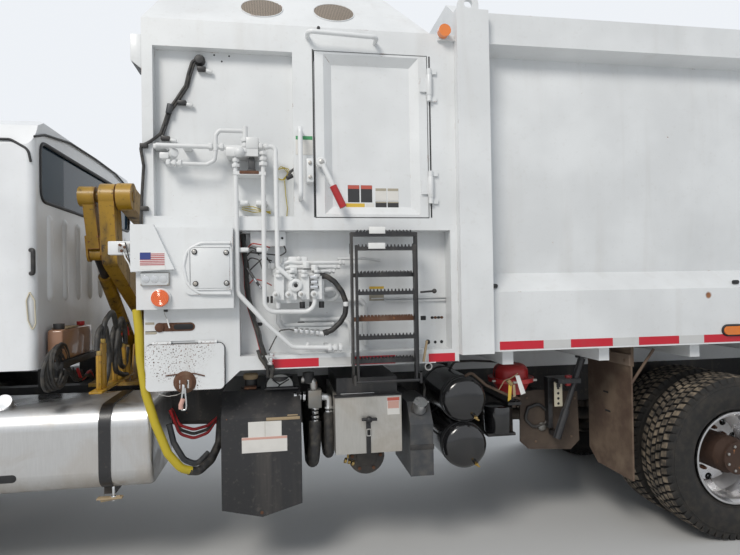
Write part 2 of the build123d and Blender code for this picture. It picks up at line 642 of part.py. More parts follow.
# Mirrors: a head on two arms from each windscreen pillar
MIRROR_Y = (1270, 1420)
with BuildPart() as mirrors:
    block((-3850, -3770), MIRROR_Y, (2050, 2450))
    for arm_z, root_x, bend_x, bend_y in ((2150, -3702, -3764, 56), (2380, -3583, -3700, 70)):
        block((root_x - 12, root_x + 12), (CAB_SIDE + SEAT_GAP, CAB_SIDE + 14), (arm_z - 12, arm_z + 12))
        pipe([(root_x, CAB_SIDE + 10, arm_z), (bend_x, CAB_SIDE + bend_y, arm_z), (-3810, MIRROR_Y[0] + 20, arm_z)], 11, 30)
    mirror(about=Plane.XZ)
write("mirrors", mirrors.part)

# Hood: a hollow shell that tilts forward, with fenders over the steered wheels
HOOD_WALL = 40
hood_profile = [
    (HOOD_X[0], 780), (HOOD_X[0] - 30, 1000), (HOOD_X[0] + 10, 1600), (HOOD_X[0] + 110, HOOD_NOSE_TOP),
    (HOOD_X[1], HOOD_TOP), (HOOD_X[1], 1150), (-4300, 1150), (-4700, 780),
]
hood_plan = [
    (HOOD_X[0] - 40, -560), (HOOD_X[1], -HOOD_HALF - 80), (HOOD_X[1], HOOD_HALF + 80), (HOOD_X[0] - 40, 560),
]
with BuildPart() as hood_inside:
    along_y(
        [
            (HOOD_X[0] + HOOD_WALL, 700), (HOOD_X[0] + HOOD_WALL + 5, 1590),
            (HOOD_X[0] + 130, HOOD_NOSE_TOP - HOOD_WALL), (HOOD_X[1] + 10, HOOD_TOP - HOOD_WALL), (HOOD_X[1] + 10, 700),
        ],
        (-HOOD_HALF - 100, HOOD_HALF + 100),
    )
    along_z(
        [
            (HOOD_X[0] - 40, -560 + HOOD_WALL), (HOOD_X[1] + 20, -HOOD_HALF - 80 + HOOD_WALL),
            (HOOD_X[1] + 20, HOOD_HALF + 80 - HOOD_WALL), (HOOD_X[0] - 40, 560 - HOOD_WALL),
        ],
        (600, 2200), mode=Mode.INTERSECT,
    )

LAMP_Y = (FENDER_HALF - 390, FENDER_HALF - 70)


def lamp_pocket(side, inset, mode=Mode.ADD):
    """A headlamp's wedge in the fender's front corner, or its pocket."""
    along_y(
        [(-4972, 790 + inset), (-5012, 1000), (-4925, 1073 - inset), (-4870 - inset, 1000), (-4870 - inset, 790 + inset)],
        sorted((side * (LAMP_Y[0] + inset), side * (LAMP_Y[1] - inset))), mode=mode,
    )


# What would strike the cab's lower front edge as the hood tilts
HOOD_SWING = hypot(COWL_X - HOOD_HINGE[0], CAB_FLOOR + 60 - HOOD_HINGE[1]) - 15
FENDER_INSIDE = CAB_SIDE + 24
with BuildPart() as cab_sweep:
    block((HOOD_X[1] + 2, HOOD_X[1] + 520), (-FENDER_INSIDE, FENDER_INSIDE), (600, CAB_FLOOR + 60))
    bar((HOOD_HINGE[0], -FENDER_INSIDE - 10, HOOD_HINGE[1]), (HOOD_HINGE[0], FENDER_INSIDE + 10, HOOD_HINGE[1]), HOOD_SWING,
        mode=Mode.SUBTRACT)

with BuildPart() as hood:
    along_y(hood_profile, (-HOOD_HALF - 80, HOOD_HALF + 80))
    along_z(hood_plan, (600, 2200), mode=Mode.INTERSECT)
    top_edges = hood.edges().filter_by(lambda edge: edge.center().Z > 1650 and abs(edge.center().Y) > 500
                                       and abs(edge.tangent_at(0.5).X) > 0.8)
    fillet(top_edges, 90)
    for side in (-1, 1):
        along_y(
            [
                (-4960, 760), (-5000, 1000), (-4780, 1180), (-4560, 1225), (-3400, 1225), (-3360, 1150),
                (-3360, 690), (-3560, 690), (-4500, 690), (-4640, 700), (-4640, 760),
            ],
            sorted((side * 640, side * FENDER_HALF)),
        )
    for side in (-1, 1):
        bar((FRONT_AXLE_X, side * 500, AXLE_Z), (FRONT_AXLE_X, side * (FENDER_HALF + 10), AXLE_Z), ARCH_R,
            mode=Mode.SUBTRACT)
        block((HOOD_X[0] + 120, HOOD_X[1] + 500), sorted((side * 600, side * (FENDER_HALF - HOOD_WALL))),
              (600, 900), mode=Mode.SUBTRACT)
        lamp_pocket(side, 0, mode=Mode.SUBTRACT)
    add(hood_inside.part, mode=Mode.SUBTRACT)
    add(cab_sweep.part, mode=Mode.SUBTRACT)
    for slot in range(6):
        slot_z = 960 + slot * 95
        block((HOOD_X[0] - 60, HOOD_X[0] + HOOD_WALL + 20), (-400, 400), (slot_z, slot_z + 55), mode=Mode.SUBTRACT)
    # Hinge knuckles under the hood's front wall
    for side in (-1, 1):
        knuckle_y = (side * HOOD_KNUCKLE_Y - 30, side * HOOD_KNUCKLE_Y + 30)
        block((HOOD_HINGE[0] - 18, HOOD_HINGE[0] + 10), knuckle_y, (HOOD_HINGE[1], 800))
        bar((HOOD_HINGE[0], knuckle_y[0], HOOD_HINGE[1]), (HOOD_HINGE[0], knuckle_y[1], HOOD_HINGE[1]), 18)
        bar((HOOD_HINGE[0], knuckle_y[0] - 1, HOOD_HINGE[1]), (HOOD_HINGE[0], knuckle_y[1] + 1, HOOD_HINGE[1]),
            10 + PIN_FIT, mode=Mode.SUBTRACT)
write("hood", hood.part)

# Headlamps let into the fenders' front faces
with BuildPart() as headlamps:
    for side in (-1, 1):
        lamp_pocket(side, SEAT_GAP)
write("headlamps", headlamps.part)

# Fuel tanks: rounded aluminium tanks under both cab doors, each held by straps
tank_in = TANK_OUT - TANK_DEPTH
with BuildPart() as fuel_tanks:
    for side, ends_x in ((-1, TANK_X), (1, KERB_TANK_X)):
        along_x(rectangle(sorted((side * tank_in, side * TANK_OUT)), (TANK_Z[0] + SEAT_GAP, TANK_Z[1])), ends_x, radius=TANK_R)
    fillet(fuel_tanks.faces().filter_by(Axis.X).edges(), 28)
    for side, straps_x in ((-1, TANK_STRAPS_X), (1, KERB_STRAPS_X)):
        for strap_x in straps_x:
            along_x(
                rectangle(
                    sorted((side * (tank_in + 8), side * (TANK_OUT + STRAP_T))), (TANK_Z[0] + SEAT_GAP, TANK_Z[1] + STRAP_T),
                ),
                (strap_x - STRAP_W / 2, strap_x + STRAP_W / 2), radius=TANK_R,
            )
        bar((CAP_X, side * 1000, TANK_Z[1] - 12), (CAP_X, side * 1060, TANK_Z[1] + 38), 46)
write("fuel_tanks", fuel_tanks.part)

# Hydraulic oil tank with a pointed bottom, its filler and gauge
OIL_X = (-1345, -895)
OIL_OUT = -1150
with BuildPart() as hydraulic_tank:
    along_y(
        [(OIL_X[0], 430), (-1120, 378), (OIL_X[1], 440), (OIL_X[1], 1074), (OIL_X[0], 1074)],
        (OIL_OUT, -RAIL_OUT - 40),
    )
    along_x([(OIL_OUT - 10, 930), (OIL_OUT - 10, 1090), (OIL_OUT + 150, 1090)], (OIL_X[0] - 5, OIL_X[1] + 5),
            mode=Mode.SUBTRACT)
    bar((-1188, -930, 1070), (-1188, -930, 1128), 36)
    bar((-1015, -900, 1070), (-1015, -900, 1135), 78)
    for leg_x in (OIL_X[0] + 70, OIL_X[1] - 70):
        block((leg_x - 30, leg_x + 30), (-RAIL_OUT - 41, -RAIL_OUT - SEAT_GAP), (820, 1020))
write("hydraulic_tank", hydraulic_tank.part)

# Battery box: a bright front cover below a dark lid
BATTERY_X = (-702, -313)
with BuildPart() as battery_box:
    block(BATTERY_X, (-1180, -560), (709, 1043))
    block((BATTERY_X[0] + 14, BATTERY_X[1] - 14), (-1130, -560), (1043, 1140))
    block((BATTERY_X[0] + 60, BATTERY_X[1] - 60), (-561, -RAIL_OUT - SEAT_GAP), (830, 1000))
    bar((-507, -1000, 660), (-507, -1060, 660), 110)
    block((-560, -460), (-1000, -900), (640, 710))
write("battery_box", battery_box.part)

# Exhaust fluid tank with a sloped shoulder and a bright cap
DEF_X = (-254, -114)
with BuildPart() as fluid_tank:
    along_x([(-1150, 544), (-1150, 850), (-1060, 968), (-700, 968), (-700, 544)], DEF_X)
    bar((-184, -1092, 925), (-184, -1135, 980), 40)
    block((DEF_X[0] + 30, DEF_X[1] - 30), (-701, -RAIL_OUT - SEAT_GAP), (850, 950))
write("fluid_tank", fluid_tank.part)

# Air tanks: two cylinders, one over the other, across the frame's side
AIR_X = 104
AIR_R = 137
with BuildPart() as air_tanks:
    for air_z in (970, 689):
        bar((AIR_X, -1085, air_z), (AIR_X, -480, air_z), AIR_R)
        bar((AIR_X, -1100, air_z), (AIR_X, -1080, air_z), AIR_R - 28)
    block((AIR_X - 60, AIR_X + 60), (-520, -RAIL_OUT - SEAT_GAP), (560, 1040))
    for air_z in (970, 689):
        bar((AIR_X + 55, -1080, air_z - 95), (AIR_X + 55, -1128, air_z - 100), 13)
write("air_tanks", air_tanks.part)

# Brake chamber, splash plate and its stay, hung from the left rail ahead of the rear wheels
CHAMBER = (487, -900)
CHAMBER_BAND_Z = 1056
with BuildPart() as brake_gear:
    with BuildSketch(Plane(origin=(*CHAMBER, CHAMBER_BAND_Z), x_dir=(1, 0, 0), z_dir=(0, -1, 0))) as chamber:
        with BuildLine():
            Polyline((58, 98), (0, 98), (0, -95), (84, -95), (124, -14), (140, -14), (140, 8), (112, 8), (112, 44))
            RadiusArc((112, 44), (58, 98), -54)
        make_face()
    revolve(chamber.sketch, axis=Axis((*CHAMBER, 0), (0, 0, 1)))
    bar((CHAMBER[0], CHAMBER[1], CHAMBER_BAND_Z - 150), (CHAMBER[0], CHAMBER[1], CHAMBER_BAND_Z - 90), 22)
    block((CHAMBER[0] - 45, CHAMBER[0] + 45), (CHAMBER[1] - 60, -RAIL_OUT - SEAT_GAP), (CHAMBER_BAND_Z - 166, CHAMBER_BAND_Z - 148))
    # Splash plate with clipped lower corners
    along_y([(594, 940), (589, 605), (650, 551), (957, 532), (1021, 592), (1011, 925), (720, 950)], (-806, -794))
    block((760, 850), (-795, -RAIL_OUT - SEAT_GAP), (860, 900))
    block((800, 960), (-950, -790), (1010, 1040))
    block((770, 800), (-860, -800), (700, 1040))
    stay_low, stay_high = (804, 642), (995, BEARER_Z - 16)
    for from_share, to_share, stay_r in ((0, 0.36, 27), (0.3, 0.76, 19), (0.74, 1, 24)):
        ends = [(stay_low[0] + (stay_high[0] - stay_low[0]) * share, -905, stay_low[1] + (stay_high[1] - stay_low[1]) * share)
                for share in (from_share, to_share)]
        bar(*ends, stay_r)
    block((796, 828), (-905, -800), (648, 680))
    block((965, 1035), (-940, -870), (BEARER_Z - SEAT_GAP - 14, BEARER_Z - SEAT_GAP))
write("brake_gear", brake_gear.part)

# Hopper: a thick-walled box open to the storage body, with the recessed side panel, the access
# doorway, the valve bay and the hipped canopy
with BuildPart() as canopy_inside:
    wall = CANOPY_WALL
    with BuildSketch(Plane.XY.offset(HOPPER_Z[1] - 5)) as low:
        with BuildLine():
            Polyline(*rectangle((CANOPY_X[0] + wall, CANOPY_X[1] - wall), (CANOPY_Y[0] + wall, CANOPY_Y[1] + 10)), close=True)
        make_face()
    with BuildSketch(Plane.XY.offset(CANOPY_TOP - wall)) as high:
        with BuildLine():
            Polyline(*rectangle((CANOPY_TOP_X[0] + wall, CANOPY_TOP_X[1] - wall), (CANOPY_TOP_Y + wall, CANOPY_Y[1] + 10)),
                     close=True)
        make_face()
    loft([low.sketch, high.sketch])

with BuildPart() as hopper:
    block(HOPPER_X, (-SIDE, SIDE), HOPPER_Z)
    along_y(
        [
            (FRONT_PLATE_X[0], HOPPER_Z[0] + 10), (FRONT_PLATE_X[0], FRONT_PLATE_Z),
            (FRONT_PLATE_X[1] - 80, FRONT_PLATE_Z), (FRONT_PLATE_X[1], HOPPER_Z[0]), (FRONT_PLATE_X[1], HOPPER_Z[0] + 10),
        ],
        (-SIDE, -SIDE + 90),
    )
    with BuildSketch(Plane.XY.offset(HOPPER_Z[1])) as low:
        with BuildLine():
            Polyline(*rectangle(CANOPY_X, CANOPY_Y), close=True)
        make_face()
    with BuildSketch(Plane.XY.offset(CANOPY_TOP)) as high:
        with BuildLine():
            Polyline(*rectangle(CANOPY_TOP_X, (CANOPY_TOP_Y, CANOPY_Y[1])), close=True)
        make_face()
    loft([low.sketch, high.sketch])
    add(canopy_inside.part, mode=Mode.SUBTRACT)
    block((HOPPER_X[0] + HOPPER_WALL, HOPPER_X[1] + 10), (-SIDE + HOPPER_LEFT_WALL, SIDE - HOPPER_WALL),
          (HOPPER_Z[0] + HOPPER_WALL, HOPPER_Z[1] - 60), mode=Mode.SUBTRACT)
    block((HOPPER_X[0] + HOPPER_WALL, CANOPY_X[1]), (-SIDE + HOPPER_LEFT_WALL, SIDE - HOPPER_WALL),
          (HOPPER_Z[1] - 70, HOPPER_Z[1] + 1), mode=Mode.SUBTRACT)
    block(PANEL_X, (-SIDE - 5, -SIDE + PANEL_SINK), PANEL_Z, mode=Mode.SUBTRACT)
    block(BAY_X, (-SIDE - 5, -SIDE + BAY_SINK), BAY_Z, mode=Mode.SUBTRACT)
    block((ACCESS_X[0] - CLEAR, ACCESS_X[1]), (-SIDE - 5, -SIDE + HOPPER_LEFT_WALL + 5), ACCESS_Z, mode=Mode.SUBTRACT)
    # The utility locker behind its flap
    block((FLAP_X[0] + 32, FLAP_X[1] - 33), (-SIDE - 5, -SIDE + 60), (FLAP_Z[0] + 39, FLAP_Z[1] - 21), mode=Mode.SUBTRACT)
    # Hinge ears and pins of the utility flap and the access door
    for lug_x in FLAP_LUGS_X:
        knuckles((lug_x - 35, *FLAP_AXIS), (lug_x + 35, *FLAP_AXIS), 9, 4, 14)
        for ear_x in ((lug_x - 49, lug_x - 35.5), (lug_x + 35.5, lug_x + 49)):
            block(ear_x, (FLAP_AXIS[0], -SIDE + 1), (FLAP_AXIS[1] - 7, FLAP_AXIS[1] + 9))
    for hinge_z in ACCESS_HINGES_Z:
        knuckles((*ACCESS_AXIS, hinge_z - 65), (*ACCESS_AXIS, hinge_z + 65), 14, 6, 30)
        for ear_z in ((hinge_z - 95, hinge_z - 66), (hinge_z + 66, hinge_z + 95)):
            block((ACCESS_AXIS[0], ACCESS_AXIS[0] + 45), (ACCESS_AXIS[1] + 3, -SIDE + 1), ear_z)
    # Sills that carry the hopper on the chassis rails
    for side in (-1, 1):
        block((HOPPER_X[0] + 40, HOPPER_X[1]), sorted((side * 345, side * 430)), (RAIL_TOP + SEAT_GAP, HOPPER_Z[0] + 5))
write("hopper", hopper.part)

# Packing blade inside the hopper, at its forward stop
with BuildPart() as packer_blade:
    along_y(
        [(-1630, 1312), (-900, 1312), (-860, 1400), (-860, 1750), (-1000, 1850), (-1630, 1900)],
        (-SIDE + HOPPER_LEFT_WALL + 8, SIDE - HOPPER_WALL - 8),
    )
    # Wear shoes that slide on the hopper's floor
    for shoe_y in (-900, 860):
        block((-1600, -900), (shoe_y, shoe_y + 120), (HOPPER_Z[0] + HOPPER_WALL + ROD_FIT, 1313))
write("packer_blade", packer_blade.part)

# Access door: a dished panel in a frame, with two hinge barrels and the red-gripped lever
with BuildPart() as access_door:
    door_x = (ACCESS_X[0], ACCESS_X[1] - CLEAR)
    door_z = (ACCESS_Z[0] + CLEAR, ACCESS_Z[1] - CLEAR)
    block(door_x, (-SIDE, -SIDE + ACCESS_T), door_z)
    # The dish's sides slope in to its flat floor
    dish_x, dish_z = (door_x[0] + 50, door_x[1] - 49), (door_z[0] + 15, door_z[1] - 12)
    with BuildSketch(Plane(origin=(sum(dish_x) / 2, -SIDE, sum(dish_z) / 2), x_dir=(1, 0, 0), z_dir=(0, 1, 0))) as dish:
        Rectangle(dish_x[1] - dish_x[0], dish_z[1] - dish_z[0])
    extrude(dish.sketch, amount=DISH_DEPTH, taper=52, mode=Mode.SUBTRACT)
    for hinge_z in ACCESS_HINGES_Z:
        block((door_x[1] - 42, ACCESS_AXIS[0]), (-SIDE - 14, -SIDE - 2), (hinge_z - 40, hinge_z + 40))
        block((door_x[1] - 42, door_x[1]), (-SIDE - 3, -SIDE + 1), (hinge_z - 40, hinge_z + 40))
        barrel((*ACCESS_AXIS, hinge_z - 65), (*ACCESS_AXIS, hinge_z + 65), 14, 6)
    bar((door_x[0] + 30, -SIDE + 5, 2379), (door_x[0] + 30, -SIDE - 40, 2379), 22)
    bar((door_x[0] + 30, -SIDE - 32, 2379), (-650, -SIDE - 32, 2130), 11)
write("access_door", access_door.part)

# Utility flap, hinged along its top edge
with BuildPart() as utility_flap:
    along_y(rectangle(FLAP_X, FLAP_Z), FLAP_Y, radius=28)
    for lug_x in FLAP_LUGS_X:
        barrel((lug_x - 35, *FLAP_AXIS), (lug_x + 35, *FLAP_AXIS), 9, 4, ears=14)
    block((-1545, -1495), (FLAP_Y[0] - 24, FLAP_Y[0] + 2), (FLAP_Z[0] + 15, FLAP_Z[0] + 60))
write("utility_flap", utility_flap.part)

# Storage body: bowed walls over an outward lower band, a crowned roof and the front hoop
def body_outline(inset):
    """The body's closed section, inset from its outer faces, with bowed walls and roof."""
    low = BODY_BOTTOM + inset
    band = (SIDE - inset, BAND_TOP - inset * 0.4)
    ledge = (LEDGE[0] - inset, LEDGE[1] - inset * 0.4)
    wall_top = (LEDGE[0] - inset, RAIL_Z[0])
    bow = (LEDGE[0] + BOW - inset, (LEDGE[1] + RAIL_Z[0]) / 2)
    with BuildLine() as half:
        Polyline((0, low), (SIDE - inset, low), band, ledge)
        ThreePointArc(ledge, bow, wall_top)
        if inset:
            Line(wall_top, (LEDGE[0] - inset, RAIL_Z[1] - inset))
            ThreePointArc((LEDGE[0] - inset, RAIL_Z[1] - inset), (LEDGE[0] / 2, ROOF_CROWN - inset - 20),
                          (0, ROOF_CROWN - inset))
        else:
            Polyline(wall_top, (SIDE, RAIL_Z[0] + 30), (SIDE, RAIL_Z[1]))
            ThreePointArc((SIDE, RAIL_Z[1]), (SIDE / 2, ROOF_CROWN - 20), (0, ROOF_CROWN))
        mirror(about=Plane.YZ)
    return half.line


def body_prism(inset, x, mode=Mode.ADD):
    """The body's section carried along its length."""
    with BuildSketch(Plane.YZ.offset(x[0])) as section:
        add(body_outline(inset))
        make_face()
    extrude(section.sketch, amount=x[1] - x[0], mode=mode)


with BuildPart() as body_shell:
    body_prism(0, BODY_X)
    # Front hoop over the joint with the hopper
    along_x(
        [
            (-HOOP_OUT, HOOP_Z[0]), (HOOP_OUT, HOOP_Z[0]), (HOOP_OUT, HOOP_Z[1]), (HOOP_OUT - 60, HOOP_Z[1]),
            (HOOP_OUT - 200, ROOF_CROWN + 30), (200 - HOOP_OUT, ROOF_CROWN + 30), (60 - HOOP_OUT, HOOP_Z[1]),
            (-HOOP_OUT, HOOP_Z[1]),
        ],
        (HOPPER_X[1] + SEAT_GAP, BODY_X[0] - SEAT_GAP),
    )
    body_prism(BODY_WALL, (HOPPER_X[1] - 10, BODY_X[1] + 10), mode=Mode.SUBTRACT)
    # Sills on the rails, and floor bearers across them
    for bearer in range(7):
        bearer_x = 330 + bearer * 640
        block((bearer_x, bearer_x + 70), (-1150, 1150), (BEARER_Z, BODY_BOTTOM - SEAT_GAP))
    for side in (-1, 1):
        block((BODY_X[0], BODY_X[1] - 40), sorted((side * 345, side * 430)), (RAIL_TOP + SEAT_GAP, BEARER_Z - SEAT_GAP))
        # Brackets that carry the tailgate cylinders
        cyl_y = side * GATE_CYL_Y
        for cheek in (-1, 1):
            block((GATE_CYL_BASE[0] - 60, GATE_CYL_BASE[0] + 60), sorted((cyl_y + cheek * 52, cyl_y + cheek * 66)),
                  (RAIL_Z[1] - 20, GATE_CYL_BASE[1] + 35))
        bar((GATE_CYL_BASE[0], cyl_y - 66, GATE_CYL_BASE[1]), (GATE_CYL_BASE[0], cyl_y + 66, GATE_CYL_BASE[1]), 24)
        # Notches and pins for the tailgate's hinge knuckles
        notch_y = (side * GATE_KNUCKLE_Y - 76, side * GATE_KNUCKLE_Y + 76)
        block((GATE_HINGE[0] - 36, GATE_HINGE[0]), notch_y, (GATE_HINGE[1] - 34, ROOF_CROWN + 10), mode=Mode.SUBTRACT)
        for ear_y in ((notch_y[0] - 16, notch_y[0]), (notch_y[1], notch_y[1] + 16)):
            block((GATE_HINGE[0] - 40, GATE_HINGE[0] + 22), ear_y, (GATE_HINGE[1] - 20, GATE_HINGE[1] + 42))
        bar((GATE_HINGE[0], notch_y[0] - 5, GATE_HINGE[1]), (GATE_HINGE[0], notch_y[1] + 5, GATE_HINGE[1]), 12)
        # Lifting eyes: arched plates on the hoop's shoulders
        eye_y = sorted((side * (HOOP_OUT - 12), side * (HOOP_OUT - 40)))
        with BuildSketch(Plane.XZ.offset(-eye_y[1])) as eye:
            with Locations((EYE_X, EYE_Z)):
                Circle(62)
            with Locations((EYE_X, (EYE_Z + HOOP_Z[1] + SEAT_GAP) / 2)):
                Rectangle(124, EYE_Z - HOOP_Z[1] - SEAT_GAP)
            with Locations((EYE_X, HOOP_Z[1] + SEAT_GAP - 50)):
                Rectangle(130, 100, mode=Mode.SUBTRACT)
            with Locations((EYE_X, EYE_Z)):
                Circle(EYE_R, mode=Mode.SUBTRACT)
        extrude(amount=eye_y[1] - eye_y[0])
write("body_shell", body_shell.part)

# Tailgate: a hollow bulged door on the body's rear frame, with stiffening ribs
gate_profile = [
    (GATE_HINGE[0], BODY_BOTTOM), (GATE_HINGE[0], GATE_HINGE[1] - 4), (4700, 3300), (5020, 3060), (REAR - 40, 2450),
    (REAR - 60, 1800), (4880, BODY_BOTTOM),
]
gate_inside_profile = [
    (GATE_HINGE[0] - 5, BODY_BOTTOM + GATE_WALL), (GATE_HINGE[0] - 5, 3250), (4680, 3250), (4975, 3030),
    (REAR - 92, 2440), (REAR - 112, 1810), (4850, BODY_BOTTOM + GATE_WALL),
]
with BuildPart() as tailgate:
    along_y(gate_profile, (-SIDE, SIDE))
    along_y(gate_inside_profile, (GATE_WALL - SIDE, SIDE - GATE_WALL), mode=Mode.SUBTRACT)
    for rib_y in (-800, 0, 800):
        along_y(
            [(4990, 3060), (5030, 3070), (REAR, 2455), (REAR, 1790), (5150, 1690), (5120, 1770), (REAR - 60, 2440)],
            (rib_y - 45, rib_y + 45),
        )
    for rib_z in (1950, 2300):
        block((REAR - 70, REAR), (-1150, 1150), (rib_z, rib_z + 90))
    for side in (-1, 1):
        lug_y = sorted((side * (GATE_CYL_Y + 45), side * (GATE_CYL_Y + 62)))
        along_y([(GATE_LUG[0] - 90, 3290), (GATE_LUG[0] + 110, 3290), (GATE_LUG[0] + 40, GATE_LUG[1] + 35),
                 (GATE_LUG[0] - 40, GATE_LUG[1] + 35)], lug_y)
        # Hinge knuckles in the notches of the body's rear edge
        knuckle_y = (side * GATE_KNUCKLE_Y - 70, side * GATE_KNUCKLE_Y + 70)
        bar((GATE_HINGE[0], knuckle_y[0], GATE_HINGE[1]), (GATE_HINGE[0], knuckle_y[1], GATE_HINGE[1]), 24)
        block((GATE_HINGE[0], GATE_HINGE[0] + 30), knuckle_y, (GATE_HINGE[1] - 30, GATE_HINGE[1] + 22))
        bar((GATE_HINGE[0], knuckle_y[0] - 30, GATE_HINGE[1]), (GATE_HINGE[0], knuckle_y[1] + 30, GATE_HINGE[1]),
            12 + PIN_FIT, mode=Mode.SUBTRACT)
        for ear_y in (side * GATE_KNUCKLE_Y - 84, side * GATE_KNUCKLE_Y + 84):
            block((GATE_HINGE[0] - 5, GATE_HINGE[0] + 48), (ear_y - 14, ear_y + 14), (GATE_HINGE[1] - 62, GATE_HINGE[1] + 1),
                  mode=Mode.SUBTRACT)
write("tailgate", tailgate.part)

# Tail lamps on the tailgate's lower rear slope
slope_low, slope_high = gate_profile[6], gate_profile[5]
slope = hypot(slope_high[0] - slope_low[0], slope_high[1] - slope_low[1])
slope_dir = ((slope_high[0] - slope_low[0]) / slope, (slope_high[1] - slope_low[1]) / slope)


def slope_point(distance, y, out):
    """A point up the tailgate's lower rear slope, standing off it."""
    return (slope_low[0] + slope_dir[0] * distance + slope_dir[1] * out, y,
            slope_low[1] + slope_dir[1] * distance - slope_dir[0] * out)


with BuildPart() as tail_lamps:
    for side in (-1, 1):
        for lamp_up in (190, 310, 430):
            bar(slope_point(lamp_up, side * 1040, SEAT_GAP), slope_point(lamp_up, side * 1040, 24), 48)
write("tail_lamps", tail_lamps.part)

# Tailgate cylinders: barrels pinned to the body, rods pinned to the tailgate
gate_run = (GATE_LUG[0] - GATE_CYL_BASE[0], GATE_LUG[1] - GATE_CYL_BASE[1])
gate_length = hypot(*gate_run)
gate_dir = (gate_run[0] / gate_length, gate_run[1] / gate_length)


def gate_point(distance, y):
    """A point along the closed tailgate cylinder."""
    return (GATE_CYL_BASE[0] + gate_dir[0] * distance, y, GATE_CYL_BASE[1] + gate_dir[1] * distance)


with BuildPart() as gate_barrels:
    for side in (-1, 1):
        cyl_y = side * GATE_CYL_Y
        bar(gate_point(40, cyl_y), gate_point(700, cyl_y), 42)
        bar((GATE_CYL_BASE[0], cyl_y - 40, GATE_CYL_BASE[1]), (GATE_CYL_BASE[0], cyl_y + 40, GATE_CYL_BASE[1]), 44)
        bar((GATE_CYL_BASE[0], cyl_y - 45, GATE_CYL_BASE[1]), (GATE_CYL_BASE[0], cyl_y + 45, GATE_CYL_BASE[1]), 24 + PIN_FIT,
            mode=Mode.SUBTRACT)
        bar(gate_point(300, cyl_y), gate_point(705, cyl_y), GATE_ROD_R + ROD_FIT, mode=Mode.SUBTRACT)
write("gate_barrels", gate_barrels.part)

with BuildPart() as gate_rods:
    for side in (-1, 1):
        cyl_y = side * GATE_CYL_Y
        bar(gate_point(600, cyl_y), gate_point(gate_length, cyl_y), GATE_ROD_R)
        bar((GATE_LUG[0], cyl_y - 36, GATE_LUG[1]), (GATE_LUG[0], cyl_y + 36, GATE_LUG[1]), 40)
write("gate_rods", gate_rods.part)

# Lamp pod on the hopper's front corner: a box, a raised shroud and a bolted cover
POD_Y = (-1290, -SIDE - SEAT_GAP)
with BuildPart() as lamp_pod:
    along_y(rectangle((-1755, -1255), (1572, 2008)), POD_Y)
    along_y([(-1774, 1773), (-1774, 2021), (-1659, 2021), (-1555, 1784)], (POD_Y[0] - 34, POD_Y[0] + 1))
    along_y([(-1774, 1773), (-1774, 2021), (-1735, 2021), (-1735, 1773)], (POD_Y[0], POD_Y[1]))
    along_y(rectangle((-1512, -1260), (1648, 1926)), (POD_Y[0] - 12, POD_Y[0] + 1), radius=40)
write("lamp_pod", lamp_pod.part)

# Hydraulic pipes and the valve manifold in the hopper's side bay
VALVE_Y = (-1235, -SIDE + BAY_SINK - SEAT_GAP)
PIPE_R = 13
with BuildPart() as hydraulic_plumbing:
    block((-1040, -760), VALVE_Y, (1590, 1760))
    for spool in range(4):
        block((-1030 + spool * 70, -985 + spool * 70), (VALVE_Y[0] - 30, VALVE_Y[0] + 1), (1610, 1740))
    pipe([(-1238, -1256, 2425), (-1235, -1256, 1652), (-1080, -1256, 1477), (-939, -1256, 1345), (-700, -1256, 1336)], PIPE_R, 60)
    pipe([(-1089, -1260, 2445), (-1091, -1260, 1545), (-815, -1260, 1541), (-815, -1260, 1640)], PIPE_R, 60)
    pipe([(-1117, -1270, 2457), (-1021, -1270, 2457), (-1017, -1270, 1790), (-940, -1270, 1720)], PIPE_R, 25)
    block((-1175, -1115), (-1285, -SIDE + PANEL_SINK - SEAT_GAP), (2400, 2500))
    block((-1250, -1075), (-1272, -SIDE + PANEL_SINK - SEAT_GAP), (2300, 2318))
    bar((-1655, -1252, 2456), (-1170, -1252, 2451), PIPE_R)
    block((-1520, -1480), (-1252, -SIDE + PANEL_SINK - SEAT_GAP), (2445, 2465))
    block((-760, -735), (-1240, -SIDE + BAY_SINK - SEAT_GAP), (1320, 1352))
write("hydraulic_plumbing", hydraulic_plumbing.part)

# Access ladder: a fixed flight on the hopper with the grab rails, and a lower section folded up over it
FOLD_AXIS = (-FOLD_OUT - 2, LADDER_Z[0] - 18)
with BuildPart() as ladder:
    wall_y = -SIDE - SEAT_GAP
    pipe([(-885, wall_y, 2563), (-885, -1300, 2563), (-885, -1300, 2176), (-885, wall_y, 2176)], 13, 30)
    pipe([(-834, wall_y, 3100), (-834, -1300, 3100), (-445, -1300, 3085), (-445, wall_y, 3085)], 13, 30)
    for rail_x in (LADDER_X[0], LADDER_X[1] - 12):
        block((rail_x, rail_x + 12), (-LADDER_OUT, -LADDER_OUT + 55), LADDER_Z)
        for foot_z in (LADDER_Z[0] + 70, LADDER_Z[1] - 120):
            block((rail_x, rail_x + 12), (-LADDER_OUT + 50, wall_y), (foot_z, foot_z + 60))
        block((rail_x, rail_x + 12), (FOLD_AXIS[0] - 16, -LADDER_OUT + 30), (FOLD_AXIS[1] - 16, LADDER_Z[0] + 20))
        bar((rail_x - 5, *FOLD_AXIS), (rail_x + 17, *FOLD_AXIS), 8 + PIN_FIT, mode=Mode.SUBTRACT)
    for tread_z in TREADS_Z:
        block((LADDER_X[0] + 5, LADDER_X[1] - 5), (-LADDER_OUT, -LADDER_OUT + 55), (tread_z - 22, tread_z))
write("ladder", ladder.part)

